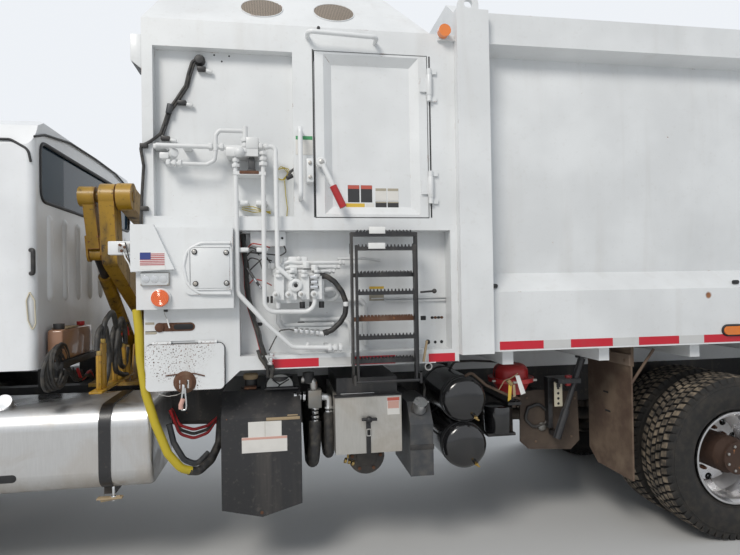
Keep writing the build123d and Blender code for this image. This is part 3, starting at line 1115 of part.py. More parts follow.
with BuildPart() as ladder_fold:
    for rail_x in (LADDER_X[0] + 20, LADDER_X[1] - 32):
        block((rail_x, rail_x + 12), (-FOLD_OUT, -LADDER_OUT - 6), (FOLD_AXIS[1] - 4, FOLD_RUNGS_Z[0] + 10))
    for rung_z in FOLD_RUNGS_Z:
        block((LADDER_X[0] + 25, LADDER_X[1] - 25), (-FOLD_OUT, -LADDER_OUT - 6), (rung_z - 20, rung_z))
    bar((LADDER_X[0] + 2, *FOLD_AXIS), (LADDER_X[1] - 2, *FOLD_AXIS), 8)
write("ladder_fold", ladder_fold.part)

# Mud flaps across the twin tyres, ahead of and behind the rear wheels, each hung from an angle
FLAP_ROOF = BODY_BOTTOM - SEAT_GAP
with BuildPart() as mudflaps:
    for side in (-1, 1):
        for flap_x, low in ((1194, 409), (3900, 350)):
            along_x(
                [
                    (side * 640, low + 80), (side * 745, low), (side * 1140, low), (side * 1140, 1215), (side * 640, 1215),
                ],
                (flap_x, flap_x + 12),
            )
            block((flap_x + 11, flap_x + 30), sorted((side * 650, side * 1130)), (1135, FLAP_ROOF))
write("mudflaps", mudflaps.part)

# Marker lamps on both sides
with BuildPart() as marker_lamps:
    for side in (-1, 1):
        along_y(
            rectangle((1867 - 75, 1867 + 75), (1330, 1384)), sorted((side * (SIDE + SEAT_GAP), side * (SIDE + 22))), radius=26,
        )
        block((-70, 31.7), sorted((side * (SIDE + SEAT_GAP), side * (SIDE + 20))), (3118, 3130))
        bar((-39, side * (SIDE + 22), 3160), (-39, side * (SIDE + 62), 3160), 36)
        block((-64, -14), sorted((side * (SIDE + SEAT_GAP), side * (SIDE + 24))), (3128, 3192))
    bar((-1630, POD_Y[0] - SEAT_GAP, 1633), (-1630, POD_Y[0] - 30, 1633), 45)
    block((-1727, -1587), (POD_Y[0] - 22, POD_Y[0] - SEAT_GAP), (1702, 1764))
write("marker_lamps", marker_lamps.part)

# Arm base: a pedestal on the chassis rails between the cab and the hopper
link_pin_low = (ARM_BASE_PIN[0] + LEVER_ARM[0], ARM_BASE_PIN[1] + LEVER_ARM[1])
link_pin_high = (KNEE_PIN[0] + LEVER_ARM[0], KNEE_PIN[1] + LEVER_ARM[1])
BASE_PLATE = (RAIL_TOP + SEAT_GAP, RAIL_TOP + 25)
with BuildPart() as arm_base:
    block((-2240, -1830), (-520, 520), BASE_PLATE)
    block((LINK_X[0] - 6, LINK_X[1] + 6), (link_pin_low[0] - 90, 521), (RAIL_TOP, BASE_PLATE[1]), mode=Mode.SUBTRACT)
    for cheek_x in ((BOOM_X[0] - 23, BOOM_X[0] - 8), (BOOM_X[1] + 8, BOOM_X[1] + 23)):
        along_x(
            [
                (60, BASE_PLATE[1] - 1), (510, BASE_PLATE[1] - 1), (390, 1500), (350, 1540), (250, 1540), (210, 1500),
            ],
            cheek_x,
        )
    bar((BOOM_X[0] - 23, *ARM_BASE_PIN), (BOOM_X[1] + 23, *ARM_BASE_PIN), PIN_R)
    for cheek_x in ((LINK_X[0] - 20, LINK_X[0] - 6), (LINK_X[1] + 6, BOOM_X[0] - 8)):
        along_x([(330, BASE_PLATE[1] - 1), (510, BASE_PLATE[1] - 1), (460, 1150), (380, 1150)], cheek_x)
    bar((LINK_X[0] - 20, *link_pin_low), (BOOM_X[0] - 10, *link_pin_low), 24)
    for cheek_x in ((LIFT_X[0] - 14, LIFT_X[0] - 4), (LIFT_X[1] + 4, LIFT_X[1] + 16)):
        along_x(
            [(-480, BASE_PLATE[1] - 1), (-250, BASE_PLATE[1] - 1), (-335, 1310), (-417, 1310)], cheek_x,
        )
    bar((LIFT_X[0] - 14, *LIFT_BASE_PIN), (LIFT_X[1] + 16, *LIFT_BASE_PIN), 24)
    # Valve block on the driver's side of the base
    block((-2180, -2020), (-500, -380), (BASE_PLATE[1] - 1, 1230))
write("arm_base", arm_base.part)


def eye(centre, x, radius, hole=0):
    """A round boss about an axis along X."""
    bar((x[0], *centre), (x[1], *centre), radius)
    if hole:
        bar((x[0] - 5, *centre), (x[1] + 5, *centre), hole, mode=Mode.SUBTRACT)


def beam(points, width, x):
    """A straight-sided box beam through a chain of Y and Z points, as wide as given."""
    for start, end in zip(points, points[1:]):
        run = atan2(end[1] - start[1], end[0] - start[0])
        off = (-sin(run) * width / 2, cos(run) * width / 2)
        along_x(
            [
                (start[0] + off[0], start[1] + off[1]), (start[0] - off[0], start[1] - off[1]),
                (end[0] - off[0], end[1] - off[1]), (end[0] + off[0], end[1] + off[1]),
            ],
            x,
        )
    for joint in points[1:-1]:
        bar((x[0], *joint), (x[1], *joint), width / 2)


# Lower boom: a dogleg beam from the base pin to the knee
lift_turn = atan2(KNEE_PIN[1] - ARM_BASE_PIN[1], KNEE_PIN[0] - ARM_BASE_PIN[0])
LIFT_PIN = (ARM_BASE_PIN[0] + LIFT_ARM * cos(lift_turn), ARM_BASE_PIN[1] + LIFT_ARM * sin(lift_turn))
with BuildPart() as lower_boom:
    beam([ARM_BASE_PIN, BOOM_BEND, KNEE_PIN], 150, BOOM_X)
    bar((BOOM_X[0], *ARM_BASE_PIN), (BOOM_X[1], *ARM_BASE_PIN), 90)
    bar((BOOM_X[0], *KNEE_PIN), (BOOM_X[1], *KNEE_PIN), 80)
    bar((BOOM_X[0], *LIFT_PIN), (BOOM_X[1], *LIFT_PIN), 55)
    for pin in (ARM_BASE_PIN, KNEE_PIN):
        bar((BOOM_X[0] - 5, *pin), (BOOM_X[1] + 5, *pin), PIN_R + PIN_FIT, mode=Mode.SUBTRACT)
write("lower_boom", lower_boom.part)

# Knee lever: the upright link at the top of the arm, with the knee pin
with BuildPart() as knee_lever:
    beam([KNEE_PIN, link_pin_high], 96, LINK_X)
    eye(KNEE_PIN, (LINK_X[0] - 22, LINK_X[1] + 4), 62)
    eye(link_pin_high, (LINK_X[0] - 14, LINK_X[1]), 50)
    block(LINK_X, (link_pin_high[0] - 60, link_pin_high[0] + 60), (link_pin_high[1] - 60, link_pin_high[1] + 70), mode=Mode.SUBTRACT)
    for cheek_x in ((LINK_X[0] - 14, LINK_X[0]), (LINK_X[1], LINK_X[1] + 14)):
        beam([(link_pin_high[0] - 30, link_pin_high[1] + 120), link_pin_high], 96, cheek_x)
    bar((LINK_X[0] - 14, *link_pin_high), (LINK_X[1] + 14, *link_pin_high), 24)
    bar((LINK_X[1], *KNEE_PIN), (UPPER_X[1] + 4, *KNEE_PIN), PIN_R)
write("knee_lever", knee_lever.part)

# Levelling strut: keeps the knee lever upright as the boom swings
with BuildPart() as level_strut:
    strut_x = (LINK_X[0] + 2, LINK_X[1] - 2)
    middle = (LINK_X[0] + LINK_X[1]) / 2
    bar((middle, *link_pin_low), (middle, *link_pin_high), 26)
    strut_run = (link_pin_high[0] - link_pin_low[0], link_pin_high[1] - link_pin_low[1])
    ends = [(middle, link_pin_low[0] + strut_run[0] * share, link_pin_low[1] + strut_run[1] * share) for share in (0.085, 0.83)]
    bar(*ends, 44)
    for pin in (link_pin_low, link_pin_high):
        bar((strut_x[0], *pin), (strut_x[1], *pin), 42)
    for pin in (link_pin_low, link_pin_high):
        bar((strut_x[0] - 5, *pin), (strut_x[1] + 5, *pin), 24 + PIN_FIT, mode=Mode.SUBTRACT)
write("level_strut", level_strut.part)

# Upper boom with its drop leg and the grab's cross tube
GRAB_LEG = (1010, 1700)
with BuildPart() as upper_boom:
    beam([KNEE_PIN, UPPER_END, GRAB_LEG], 140, UPPER_X)
    beam([UPPER_END, GRAB_LEG, GRAB_AXIS], 110, UPPER_X)
    bar((UPPER_X[0], *KNEE_PIN), (UPPER_X[1], *KNEE_PIN), 85)
    bar((UPPER_X[0] - 5, *KNEE_PIN), (UPPER_X[1] + 5, *KNEE_PIN), PIN_R + PIN_FIT, mode=Mode.SUBTRACT)
    bar((UPPER_X[0], *GRAB_AXIS), (FINGER_PINS_X[1] + 70, *GRAB_AXIS), GRAB_TUBE_R)
    for pin_x in FINGER_PINS_X:
        for low, high in ((GRAB_AXIS[1] - 120, GRAB_AXIS[1] - 95), (GRAB_AXIS[1] + 40, GRAB_AXIS[1] + 65)):
            block((pin_x - 55, pin_x + 55), (GRAB_AXIS[0] - 20, GRAB_AXIS[0] + FINGER_OUT + 40), (low, high))
        block((pin_x - 55, pin_x + 55), (GRAB_AXIS[0] - 20, GRAB_AXIS[0] + 10), (GRAB_AXIS[1] - 120, GRAB_AXIS[1] + 65))
        pin_y = GRAB_AXIS[0] + FINGER_OUT
        bar((pin_x, pin_y, GRAB_AXIS[1] - 120), (pin_x, pin_y, GRAB_AXIS[1] + 65), 20)
write("upper_boom", upper_boom.part)

# Grab fingers: two curved arms that fold flat along the truck's side
FINGER_Y = GRAB_AXIS[0] + FINGER_OUT
FINGER_Z = (GRAB_AXIS[1] - 88, GRAB_AXIS[1] + 33)
for word, pin_x, way in (("front", FINGER_PINS_X[0], -1), ("rear", FINGER_PINS_X[1], 1)):
    with BuildPart() as finger:
        tip = pin_x + way * FINGER_REACH
        with BuildSketch(Plane.XY.offset(FINGER_Z[0])) as curve:
            with BuildLine():
                ThreePointArc((pin_x, FINGER_Y - 22), ((pin_x + tip) / 2, FINGER_Y - 34), (tip, FINGER_Y + 22))
                Line((tip, FINGER_Y + 22), (tip, FINGER_Y + 40))
                ThreePointArc((tip, FINGER_Y + 40), ((pin_x + tip) / 2, FINGER_Y + 4), (pin_x, FINGER_Y + 22))
                Line((pin_x, FINGER_Y + 22), (pin_x, FINGER_Y - 22))
            make_face()
        extrude(curve.sketch, amount=FINGER_Z[1] - FINGER_Z[0])
        bar((pin_x, FINGER_Y, FINGER_Z[0]), (pin_x, FINGER_Y, FINGER_Z[1]), 38)
        bar((pin_x, FINGER_Y, FINGER_Z[0] - 5), (pin_x, FINGER_Y, FINGER_Z[1] + 5), 20 + PIN_FIT, mode=Mode.SUBTRACT)
    write(f"finger_{word}", finger.part)

# Lift cylinder: barrel pinned to the base, rod pinned to the lower boom
lift_run = (LIFT_PIN[0] - LIFT_BASE_PIN[0], LIFT_PIN[1] - LIFT_BASE_PIN[1])
lift_length = hypot(*lift_run)
lift_dir = (lift_run[0] / lift_length, lift_run[1] / lift_length)
lift_x = (LIFT_X[0] + LIFT_X[1]) / 2


def lift_point(distance):
    """A point along the closed lift cylinder."""
    return (lift_x, LIFT_BASE_PIN[0] + lift_dir[0] * distance, LIFT_BASE_PIN[1] + lift_dir[1] * distance)


with BuildPart() as lift_barrel:
    bar(lift_point(30), lift_point(470), 41)
    bar((LIFT_X[0], *LIFT_BASE_PIN), (LIFT_X[1], *LIFT_BASE_PIN), 40)
    bar((LIFT_X[0] - 5, *LIFT_BASE_PIN), (LIFT_X[1] + 5, *LIFT_BASE_PIN), 24 + PIN_FIT, mode=Mode.SUBTRACT)
    bar(lift_point(60), lift_point(475), LIFT_ROD_R + ROD_FIT, mode=Mode.SUBTRACT)
write("lift_barrel", lift_barrel.part)

with BuildPart() as lift_rod:
    bar(lift_point(80), lift_point(lift_length), LIFT_ROD_R)
    bar((LIFT_X[0] - 8, *LIFT_PIN), (LIFT_X[1], *LIFT_PIN), 42)
write("lift_rod", lift_rod.part)
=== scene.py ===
import bmesh
import bpy
from math import cos, pi, radians, sin
from mathutils import Matrix, Vector


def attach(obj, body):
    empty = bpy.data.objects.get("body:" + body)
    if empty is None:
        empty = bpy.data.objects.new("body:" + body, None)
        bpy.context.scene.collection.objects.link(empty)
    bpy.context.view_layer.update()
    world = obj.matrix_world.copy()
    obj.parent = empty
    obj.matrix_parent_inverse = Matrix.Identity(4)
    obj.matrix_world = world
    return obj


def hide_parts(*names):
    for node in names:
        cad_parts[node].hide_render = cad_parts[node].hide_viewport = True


# Side-loading refuse truck. Lengths below are in millimetres: +X to the rear, -Y the driver's
# side, +Z up. Each piece collects its shapes in one mesh and rides on one body.

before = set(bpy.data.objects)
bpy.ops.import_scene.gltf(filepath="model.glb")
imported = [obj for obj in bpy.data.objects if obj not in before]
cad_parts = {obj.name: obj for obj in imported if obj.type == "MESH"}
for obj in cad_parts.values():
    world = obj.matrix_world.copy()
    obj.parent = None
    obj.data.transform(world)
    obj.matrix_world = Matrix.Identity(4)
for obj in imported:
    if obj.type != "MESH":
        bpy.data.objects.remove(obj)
scene = bpy.context.scene
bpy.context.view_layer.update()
MM = 0.001

# Wheels: a tyre's radius is also its axle's height; tracks are distances from the middle
# to a tyre's, faces those to the plane on which studs stand
TYRE_RADIUS = 527
FRONT_AXLE, REAR_AXLES = -4010, (1905, 3225)
FRONT_TRACK, DUAL_TRACKS = 1040, (1080, 737)
FRONT_FACE, REAR_FACE, CAP_FACE = 1132, 923, 1202
STUD_RING, CAP_RING = 143, 84
SEAT_TRACK = 480

# The levelling strut's lower pin and its run to the upper one, as (y, z)
STRUT_FOOT, STRUT_RUN = (420, 1100), (-1000, 810)


def vec(p):
    return Vector(p) * MM


# Camera, fitted to the truck's own straight lines: place in metres, angles, and the focal
# length in dots of a picture of the given width
EYE = (-1.009, -4.380, 1.690)
FOCAL_DOTS, PICTURE_DOTS, SENSOR = 556, 740, 36
YAW, PITCH, ROLL = radians(9.26), radians(0.67), radians(0.90)
ahead = Vector((sin(YAW) * cos(PITCH), cos(YAW) * cos(PITCH), sin(PITCH)))
level_right = Vector((cos(YAW), -sin(YAW), 0))
level_up = level_right.cross(ahead)
right = level_right * cos(ROLL) - level_up * sin(ROLL)
up = level_right * sin(ROLL) + level_up * cos(ROLL)
camera = bpy.data.objects.new("camera", bpy.data.cameras.new("camera"))
scene.collection.objects.link(camera)
camera.matrix_world = Matrix(((right.x, up.x, -ahead.x, EYE[0]), (right.y, up.y, -ahead.y, EYE[1]),
                              (right.z, up.z, -ahead.z, EYE[2]), (0, 0, 0, 1)))
camera.data.sensor_width = SENSOR
camera.data.lens = SENSOR * FOCAL_DOTS / PICTURE_DOTS
camera.data.clip_end = 200
scene.camera = camera


# Materials
class Nodes:
    """A material's node tree, with short names for the nodes it uses."""

    def __init__(self, name):
        self.material = bpy.data.materials.new(name)
        self.material.use_nodes = True
        self.tree = self.material.node_tree
        self.tree.nodes.clear()
        self.out = self.tree.nodes.new("ShaderNodeOutputMaterial")
        self.place = self.node("ShaderNodeTexCoord").outputs["Object"]

    def node(self, kind, inputs=None, **settings):
        made = self.tree.nodes.new(kind)
        for key, value in settings.items():
            setattr(made, key, value)
        for key, value in (inputs or {}).items():
            if isinstance(value, bpy.types.NodeSocket):
                self.tree.links.new(value, made.inputs[key])
            else:
                made.inputs[key].default_value = value
        return made

    def noise(self, scale, detail=4, stretch=None, distortion=0.0, rough=0.55):
        place = self.place
        if stretch:
            place = self.node("ShaderNodeMapping", {"Vector": place, "Scale": stretch}).outputs[0]
        return self.node("ShaderNodeTexNoise", {"Vector": place, "Scale": scale, "Detail": detail,
                                                "Roughness": rough, "Distortion": distortion}).outputs["Fac"]

    def maths(self, operation, a, b=0.0, clamp=False):
        return self.node("ShaderNodeMath", {0: a, 1: b}, operation=operation, use_clamp=clamp).outputs[0]

    def step(self, value, low, high):
        """0 below low, 1 above high, smooth between; low may be the larger."""
        return self.node("ShaderNodeMapRange", {"Value": value, "From Min": low, "From Max": high},
                         interpolation_type="SMOOTHSTEP").outputs[0]

    def mix(self, share, a, b):
        as_colour = lambda c: (*c, 1) if isinstance(c, tuple) and len(c) == 3 else c
        made = self.node("ShaderNodeMix", data_type="RGBA")
        for index, value in ((0, share), (6, as_colour(a)), (7, as_colour(b))):
            if isinstance(value, bpy.types.NodeSocket):
                self.tree.links.new(value, made.inputs[index])
            else:
                made.inputs[index].default_value = value
        return made.outputs[2]

    def blend(self, share, a, b):
        """A number between a and b."""
        return self.maths("ADD", self.maths("MULTIPLY", share, b - a), a)

    def axis(self, index):
        return self.node("ShaderNodeSeparateXYZ", {0: self.place}).outputs[index]

    def spot(self, centre, radius, ragged=0.5):
        """A ragged patch about a point in millimetres."""
        apart = self.node("ShaderNodeVectorMath", {0: self.place, 1: vec(centre)},
                          operation="DISTANCE").outputs["Value"]
        ragged_apart = self.maths("ADD", apart, self.maths("MULTIPLY", self.noise(14, 5), radius * MM * ragged * 2))
        return self.step(ragged_apart, radius * MM * (1 + ragged), radius * MM * (0.45 + ragged))

    def edges(self, radius):
        """1 along the solid's edges, 0 on its flats."""
        rounded = self.node("ShaderNodeBevel", {"Radius": radius * MM}, samples=4).outputs[0]
        flat = self.node("ShaderNodeNewGeometry").outputs["Normal"]
        dot = self.node("ShaderNodeVectorMath", {0: rounded, 1: flat}, operation="DOT_PRODUCT").outputs["Value"]
        return self.step(dot, 0.995, 0.90)

    def finish(self, colour, rough, metal=0.0, bump=None, strength=0.2, distance=0.002, **inputs):
        values = {"Base Color": (*colour, 1) if isinstance(colour, tuple) and len(colour) == 3 else colour,
                  "Roughness": rough, "Metallic": metal}
        values.update({key.replace("_", " "): value for key, value in inputs.items()})
        if bump is not None:
            values["Normal"] = self.node("ShaderNodeBump", {"Height": bump, "Strength": strength,
                                                            "Distance": distance}).outputs[0]
        shader = self.node("ShaderNodeBsdfPrincipled", values)
        self.tree.links.new(shader.outputs[0], self.out.inputs["Surface"])
        return self.material


RUST = (0.16, 0.055, 0.02)
DUST = (0.36, 0.31, 0.25)


def painted(name, colour, rough=0.38, grime=0.25, grime_colour=DUST, low=None, rust=0.0, edge_rust=0.0, spots=(),
            mottle=0.05, dents=0.15, coat=0.15, chip_scale=22, speckled=0, rust_colour=(0.36, 0.16, 0.07)):
    """Paint over sheet metal: faint mottling, runs of dirt, chips that show rust, and grime near the ground."""
    m = Nodes(name)
    broad, fine = m.noise(1.7, 3), m.noise(38, 5)
    darker = tuple(c * (1 - 2.2 * mottle) for c in colour)
    base = m.mix(m.step(broad, 0.35, 0.65), darker, colour)
    runs = m.step(m.noise(3.5, 5, stretch=(2.6, 2.6, 0.22), distortion=0.3), 0.50, 0.78)
    specks = m.step(fine, 0.56, 0.74)
    dirt = m.maths("MULTIPLY", m.maths("ADD", m.maths("MULTIPLY", runs, 0.7),
                                       m.maths("MULTIPLY", specks, 0.5)), grime, True)
    if low:
        height = m.step(m.axis(2), low[1] * MM, low[0] * MM)
        dirt = m.maths("MAXIMUM", dirt, m.maths("MULTIPLY", height, m.step(m.noise(6, 6), 0.25, 0.75)))
    base = m.mix(dirt, base, grime_colour)
    chips = m.step(m.noise(chip_scale, 6, rough=0.65), 0.74 - 0.10 * rust, 0.77 - 0.10 * rust)
    if rust <= 0:
        chips = m.maths("MULTIPLY", chips, 0.0)
    if edge_rust:
        worn = m.maths("MULTIPLY", m.edges(5), m.step(m.noise(9, 6), 0.62 - 0.25 * edge_rust,
                                                      0.72 - 0.25 * edge_rust))
        chips = m.maths("MAXIMUM", chips, worn)
    grains = m.step(m.noise(speckled, 3), 0.585, 0.61) if speckled else 1.0
    for centre, radius in spots:
        chips = m.maths("MAXIMUM", chips, m.maths("MULTIPLY", m.spot(centre, radius), grains))
    rusty = m.mix(m.step(fine, 0.3, 0.7), RUST, rust_colour)
    base = m.mix(chips, base, rusty)
    roughness = m.maths("MAXIMUM", m.blend(dirt, rough, 0.75), m.maths("MULTIPLY", chips, 0.85))
    height = m.maths("ADD", broad, m.maths("MULTIPLY", chips, -0.12))
    return m.finish(base, roughness, bump=height, strength=dents, distance=0.012, Coat_Weight=coat,
                    Coat_Roughness=0.15)


def metalwork(name, colour, rough=0.3, streaks=(1, 1, 1), grime=0.3, rust=0.0, bump=0.1, scale=30, low=None):
    """Bare or polished metal with rolled streaks, dull patches and rust stains."""
    m = Nodes(name)
    grain = m.noise(scale, 5, stretch=streaks)
    patches = m.step(m.noise(4, 6, distortion=0.6), 0.42, 0.66)
    base = m.mix(grain, tuple(c * 0.82 for c in colour), colour)
    base = m.mix(m.maths("MULTIPLY", patches, grime), base, (0.33, 0.28, 0.22))
    if low:
        height = m.step(m.axis(2), low[1] * MM, low[0] * MM)
        base = m.mix(m.maths("MULTIPLY", height, m.step(m.noise(5, 6, stretch=(2, 2, 0.4)), 0.2, 0.8)), base,
                     (0.30, 0.235, 0.16))
    stain = m.step(m.noise(12, 6), 0.72 - 0.3 * rust, 0.82 - 0.3 * rust)
    if rust <= 0:
        stain = m.maths("MULTIPLY", stain, 0.0)
    base = m.mix(stain, base, m.mix(m.noise(40, 4), RUST, (0.30, 0.14, 0.07)))
    roughness = m.maths("ADD", m.blend(patches, rough, rough + 0.18), m.maths("MULTIPLY", stain, 0.4), True)
    metal = m.maths("SUBTRACT", 1.0, m.maths("MAXIMUM", m.maths("MULTIPLY", patches, grime * 0.6), stain), True)
    return m.finish(base, roughness, metal=metal, bump=grain, strength=bump, distance=0.001)


def rubber(name, colour, dust_colour, dusty=0.5, rough=0.75, scale=18, low=None):
    """Rubber or moulded plastic with dry dust."""
    m = Nodes(name)
    dust = m.maths("MULTIPLY", m.step(m.noise(scale, 6), 0.35, 0.75), dusty)
    if low:
        dust = m.maths("MAXIMUM", dust, m.maths("MULTIPLY", m.step(m.axis(2), low[1] * MM, low[0] * MM),
                                                m.step(m.noise(7, 6), 0.3, 0.7)))
    return m.finish(m.mix(dust, colour, dust_colour), m.blend(dust, rough, 0.9), bump=m.noise(90, 4),
                    strength=0.25, distance=0.0012)


WHITE = (0.78, 0.795, 0.80)
MAT = {
    "white": painted("white_paint", WHITE, rust=0.16, edge_rust=0.15, grime=0.16,
                     spots=[((-1470, -1226, 1190), 40)]),
    "cab": painted("cab_paint", (0.80, 0.815, 0.83), grime=0.12, rust=0.0, coat=0.4, rough=0.3),
    "body": painted("body_paint", WHITE, rust=0.08, edge_rust=0.08, grime=0.14, dents=0.22,
                    spots=[((1695, -1221, 1585), 26)]),
    "pipe": painted("pipe_paint", (0.76, 0.77, 0.77), rust=0.35, edge_rust=0.0, grime=0.25, chip_scale=40),
    "yellow": painted("arm_paint", (0.40, 0.225, 0.012), rust=0.9, edge_rust=1.0, grime=1.6,
                      grime_colour=(0.05, 0.032, 0.015), rough=0.42),
    "black": painted("black_paint", (0.018, 0.018, 0.02), grime=0.35, grime_colour=(0.19, 0.165, 0.14),
                     rust=0.2, mottle=0.1, rough=0.42),
    "chassis": painted("chassis_paint", (0.016, 0.016, 0.017), grime=0.6, grime_colour=(0.13, 0.105, 0.08),
                       rust=0.6, mottle=0.1,
                       rough=0.6, low=(400, 900)),
    "rust": painted("rusty_iron", (0.13, 0.055, 0.028), grime=0.6, grime_colour=(0.22, 0.16, 0.11), rust=1.0,
                    mottle=0.12, rough=0.8, coat=0.0),
    "red": painted("red_paint", (0.42, 0.018, 0.02), grime=0.4, grime_colour=(0.12, 0.05, 0.03), rust=0.5, rough=0.4),
    "aluminium": metalwork("tank_metal", (0.66, 0.66, 0.66), rough=0.33, streaks=(5, 5, 0.4), grime=0.35,
                           low=(430, 760)),
    "steel": metalwork("steel", (0.50, 0.49, 0.47), rough=0.35, grime=0.5, rust=0.2),
    "bright": metalwork("bright_metal", (0.75, 0.76, 0.77), rough=0.2, grime=0.15),
    "chrome": metalwork("hard_chrome", (0.82, 0.83, 0.85), rough=0.08, grime=0.08, bump=0.02),
    "gloss": painted("gloss_black", (0.008, 0.008, 0.009), grime=0.15, grime_colour=(0.10, 0.088, 0.075),
                     mottle=0.05, rough=0.16, coat=0.6),
    "hub": painted("rusty_hub", (0.060, 0.030, 0.018), grime=0.6, grime_colour=(0.11, 0.075, 0.05), rust=1.0,
                   mottle=0.15, rough=0.75, coat=0.0),
    # Inner rims of the duals: dark metal as painted shade behind the outer rims, with real grime and rust
    "rim_shade_and_grime": metalwork("inner_wheel_shade_and_grime", (0.10, 0.095, 0.09), rough=0.6, grime=0.7, rust=0.4),
    "splash": rubber("splash_plate", (0.050, 0.034, 0.025), (0.12, 0.09, 0.066), dusty=0.6, scale=6, low=(420, 800)),
    "rim": metalwork("wheel_metal", (0.72, 0.72, 0.73), rough=0.22, grime=0.3, rust=0.12),
    "cover": metalwork("battery_cover", (0.58, 0.565, 0.53), rough=0.42, streaks=(4, 4, 0.5), grime=0.45),
    "tyre": rubber("tyre_rubber", (0.012, 0.0115, 0.011), (0.085, 0.070, 0.054), dusty=0.3),
    "tread": rubber("tread_rubber", (0.06, 0.05, 0.04), (0.33, 0.265, 0.19), dusty=0.95),
    "flap": rubber("muddy_flap", (0.085, 0.052, 0.036), (0.20, 0.145, 0.10), dusty=0.8, scale=6, low=(420, 900)),
    "flap_light": rubber("dusty_angle", (0.16, 0.115, 0.085), (0.26, 0.20, 0.15), dusty=0.7, scale=9),
    "flap_paint": painted("flap_paint", WHITE, rust=0.16, edge_rust=0.9, grime=0.3, chip_scale=60,
                          speckled=120, rust_colour=(0.035, 0.016, 0.01),
                          spots=[((-1557, -1250, 1322), 150), ((-1680, -1250, 1330), 90), ((-1420, -1250, 1350), 80),
                                 ((-1640, -1250, 1230), 70), ((-1500, -1250, 1180), 90)]),
    "brass": metalwork("brass", (0.50, 0.34, 0.10), rough=0.35, grime=0.4),
    "steel_grey": metalwork("grey_casting", (0.26, 0.26, 0.25), rough=0.55, grime=0.5),
    "plastic": rubber("black_plastic", (0.02, 0.02, 0.021), (0.16, 0.14, 0.12), dusty=0.3, rough=0.45),
    "grey": rubber("grey_plastic", (0.045, 0.048, 0.053), (0.16, 0.145, 0.125), dusty=0.4, rough=0.45),
    "hose": rubber("hose_rubber", (0.018, 0.018, 0.019), (0.17, 0.15, 0.12), dusty=0.35, rough=0.5, scale=30),
}


def simple(name, colour, rough=0.4, bump_scale=60, strength=0.05, **inputs):
    m = Nodes(name)
    wear = m.step(m.noise(9, 5), 0.45, 0.8)
    return m.finish(m.mix(m.maths("MULTIPLY", wear, 0.35), colour, tuple(c * 0.6 + 0.06 for c in colour)), rough,
                    bump=m.noise(bump_scale, 3), strength=strength, distance=0.001, **inputs)


MAT.update({
    "plate_green": simple("plate_green", (0.06, 0.30, 0.12), 0.5),
    "plate_white": simple("plate_white", (0.80, 0.80, 0.78), 0.45),
    "plate_dull": simple("plate_dull", (0.40, 0.36, 0.28), 0.6),
    "stripe_red": simple("stripe_red", (0.45, 0.06, 0.07), 0.5),
    "grip_red": simple("red_grip", (0.42, 0.012, 0.015), 0.35),
    "red_wire": simple("red_wire", (0.40, 0.03, 0.02), 0.45),
    "tag_pink": simple("faded_tag", (0.62, 0.36, 0.30), 0.6),
    "tan_box": simple("tan_box", (0.30, 0.15, 0.08), 0.3, Coat_Weight=0.6),
    "tan": simple("tan_cap", (0.36, 0.27, 0.16), 0.7),
    "cream": simple("cream_bracket", (0.55, 0.50, 0.38), 0.6),
    "tape_red": simple("tape_red", (0.56, 0.012, 0.03), 0.35),
    "tape_white": simple("tape_white", (0.60, 0.60, 0.59), 0.35),
    "plate": simple("blank_plate", (0.72, 0.70, 0.66), 0.5),
    "plate_red": simple("plate_red", (0.50, 0.10, 0.07), 0.5),
    "plate_dark": simple("plate_dark", (0.03, 0.03, 0.032), 0.5),
    "plate_blue": simple("plate_blue", (0.03, 0.05, 0.22), 0.5),
    "plate_yellow": simple("plate_yellow", (0.70, 0.46, 0.05), 0.5),
    "amber": simple("amber_lens", (0.80, 0.20, 0.01), 0.15, Coat_Weight=1.0, Coat_Roughness=0.05),
    "orange": simple("orange_lens", (0.80, 0.13, 0.01), 0.2, Coat_Weight=1.0),
    "red_lens": simple("red_lens", (0.42, 0.006, 0.006), 0.15, Coat_Weight=1.0),
    "clear": simple("clear_lens", (0.55, 0.57, 0.58), 0.08, Coat_Weight=1.0, Coat_Roughness=0.03),
    # Near-black for holes and slots: painted shade of the hollows behind them
    "screen": simple("painted_hole_shade", (0.006, 0.006, 0.007), 0.6),
    "yellow_hose": simple("yellow_conduit", (0.52, 0.40, 0.02), 0.45),
    "cloth": simple("seat_cloth", (0.055, 0.06, 0.07), 0.9, bump_scale=400, strength=0.4, Sheen_Weight=0.3),
    # Near-black for rubber seals, joints and blades; also painted shade in slots, a recess and under the lamp box
    "sealant_and_shade": simple("rubber_sealant_and_shade", (0.012, 0.012, 0.013), 0.5),
})


def glazing():
    """Nearly opaque dark glass with faint smears; its darkness is painted shade of the cab's inside."""
    m = Nodes("glass_with_painted_shade")
    smear = m.noise(3, 5, stretch=(1, 1, 0.4))
    return m.finish((0.02, 0.045, 0.07), 0.03, bump=smear, strength=0.03, distance=0.004, Alpha=0.94,
                    IOR=1.45, Specular_IOR_Level=0.3)


def screening():
    """A perforated screen: a fine wavy grid of holes, darkened as painted shade of the hollow behind."""
    m = Nodes("screen_mesh")
    grid = {"Vector": m.place, "Scale": 34, "Distortion": 1.2, "Detail": 1}
    waves = [m.node("ShaderNodeTexWave", grid, bands_direction=way).outputs["Fac"] for way in ("X", "Z")]
    holes = m.maths("MULTIPLY", m.step(waves[0], 0.35, 0.6), m.step(waves[1], 0.25, 0.5))
    return m.finish(m.mix(holes, (0.30, 0.25, 0.20), (0.05, 0.042, 0.036)), 0.7, bump=holes, strength=0.4,
                    distance=0.002)


MAT["glass"] = glazing()
MAT["mesh"] = screening()


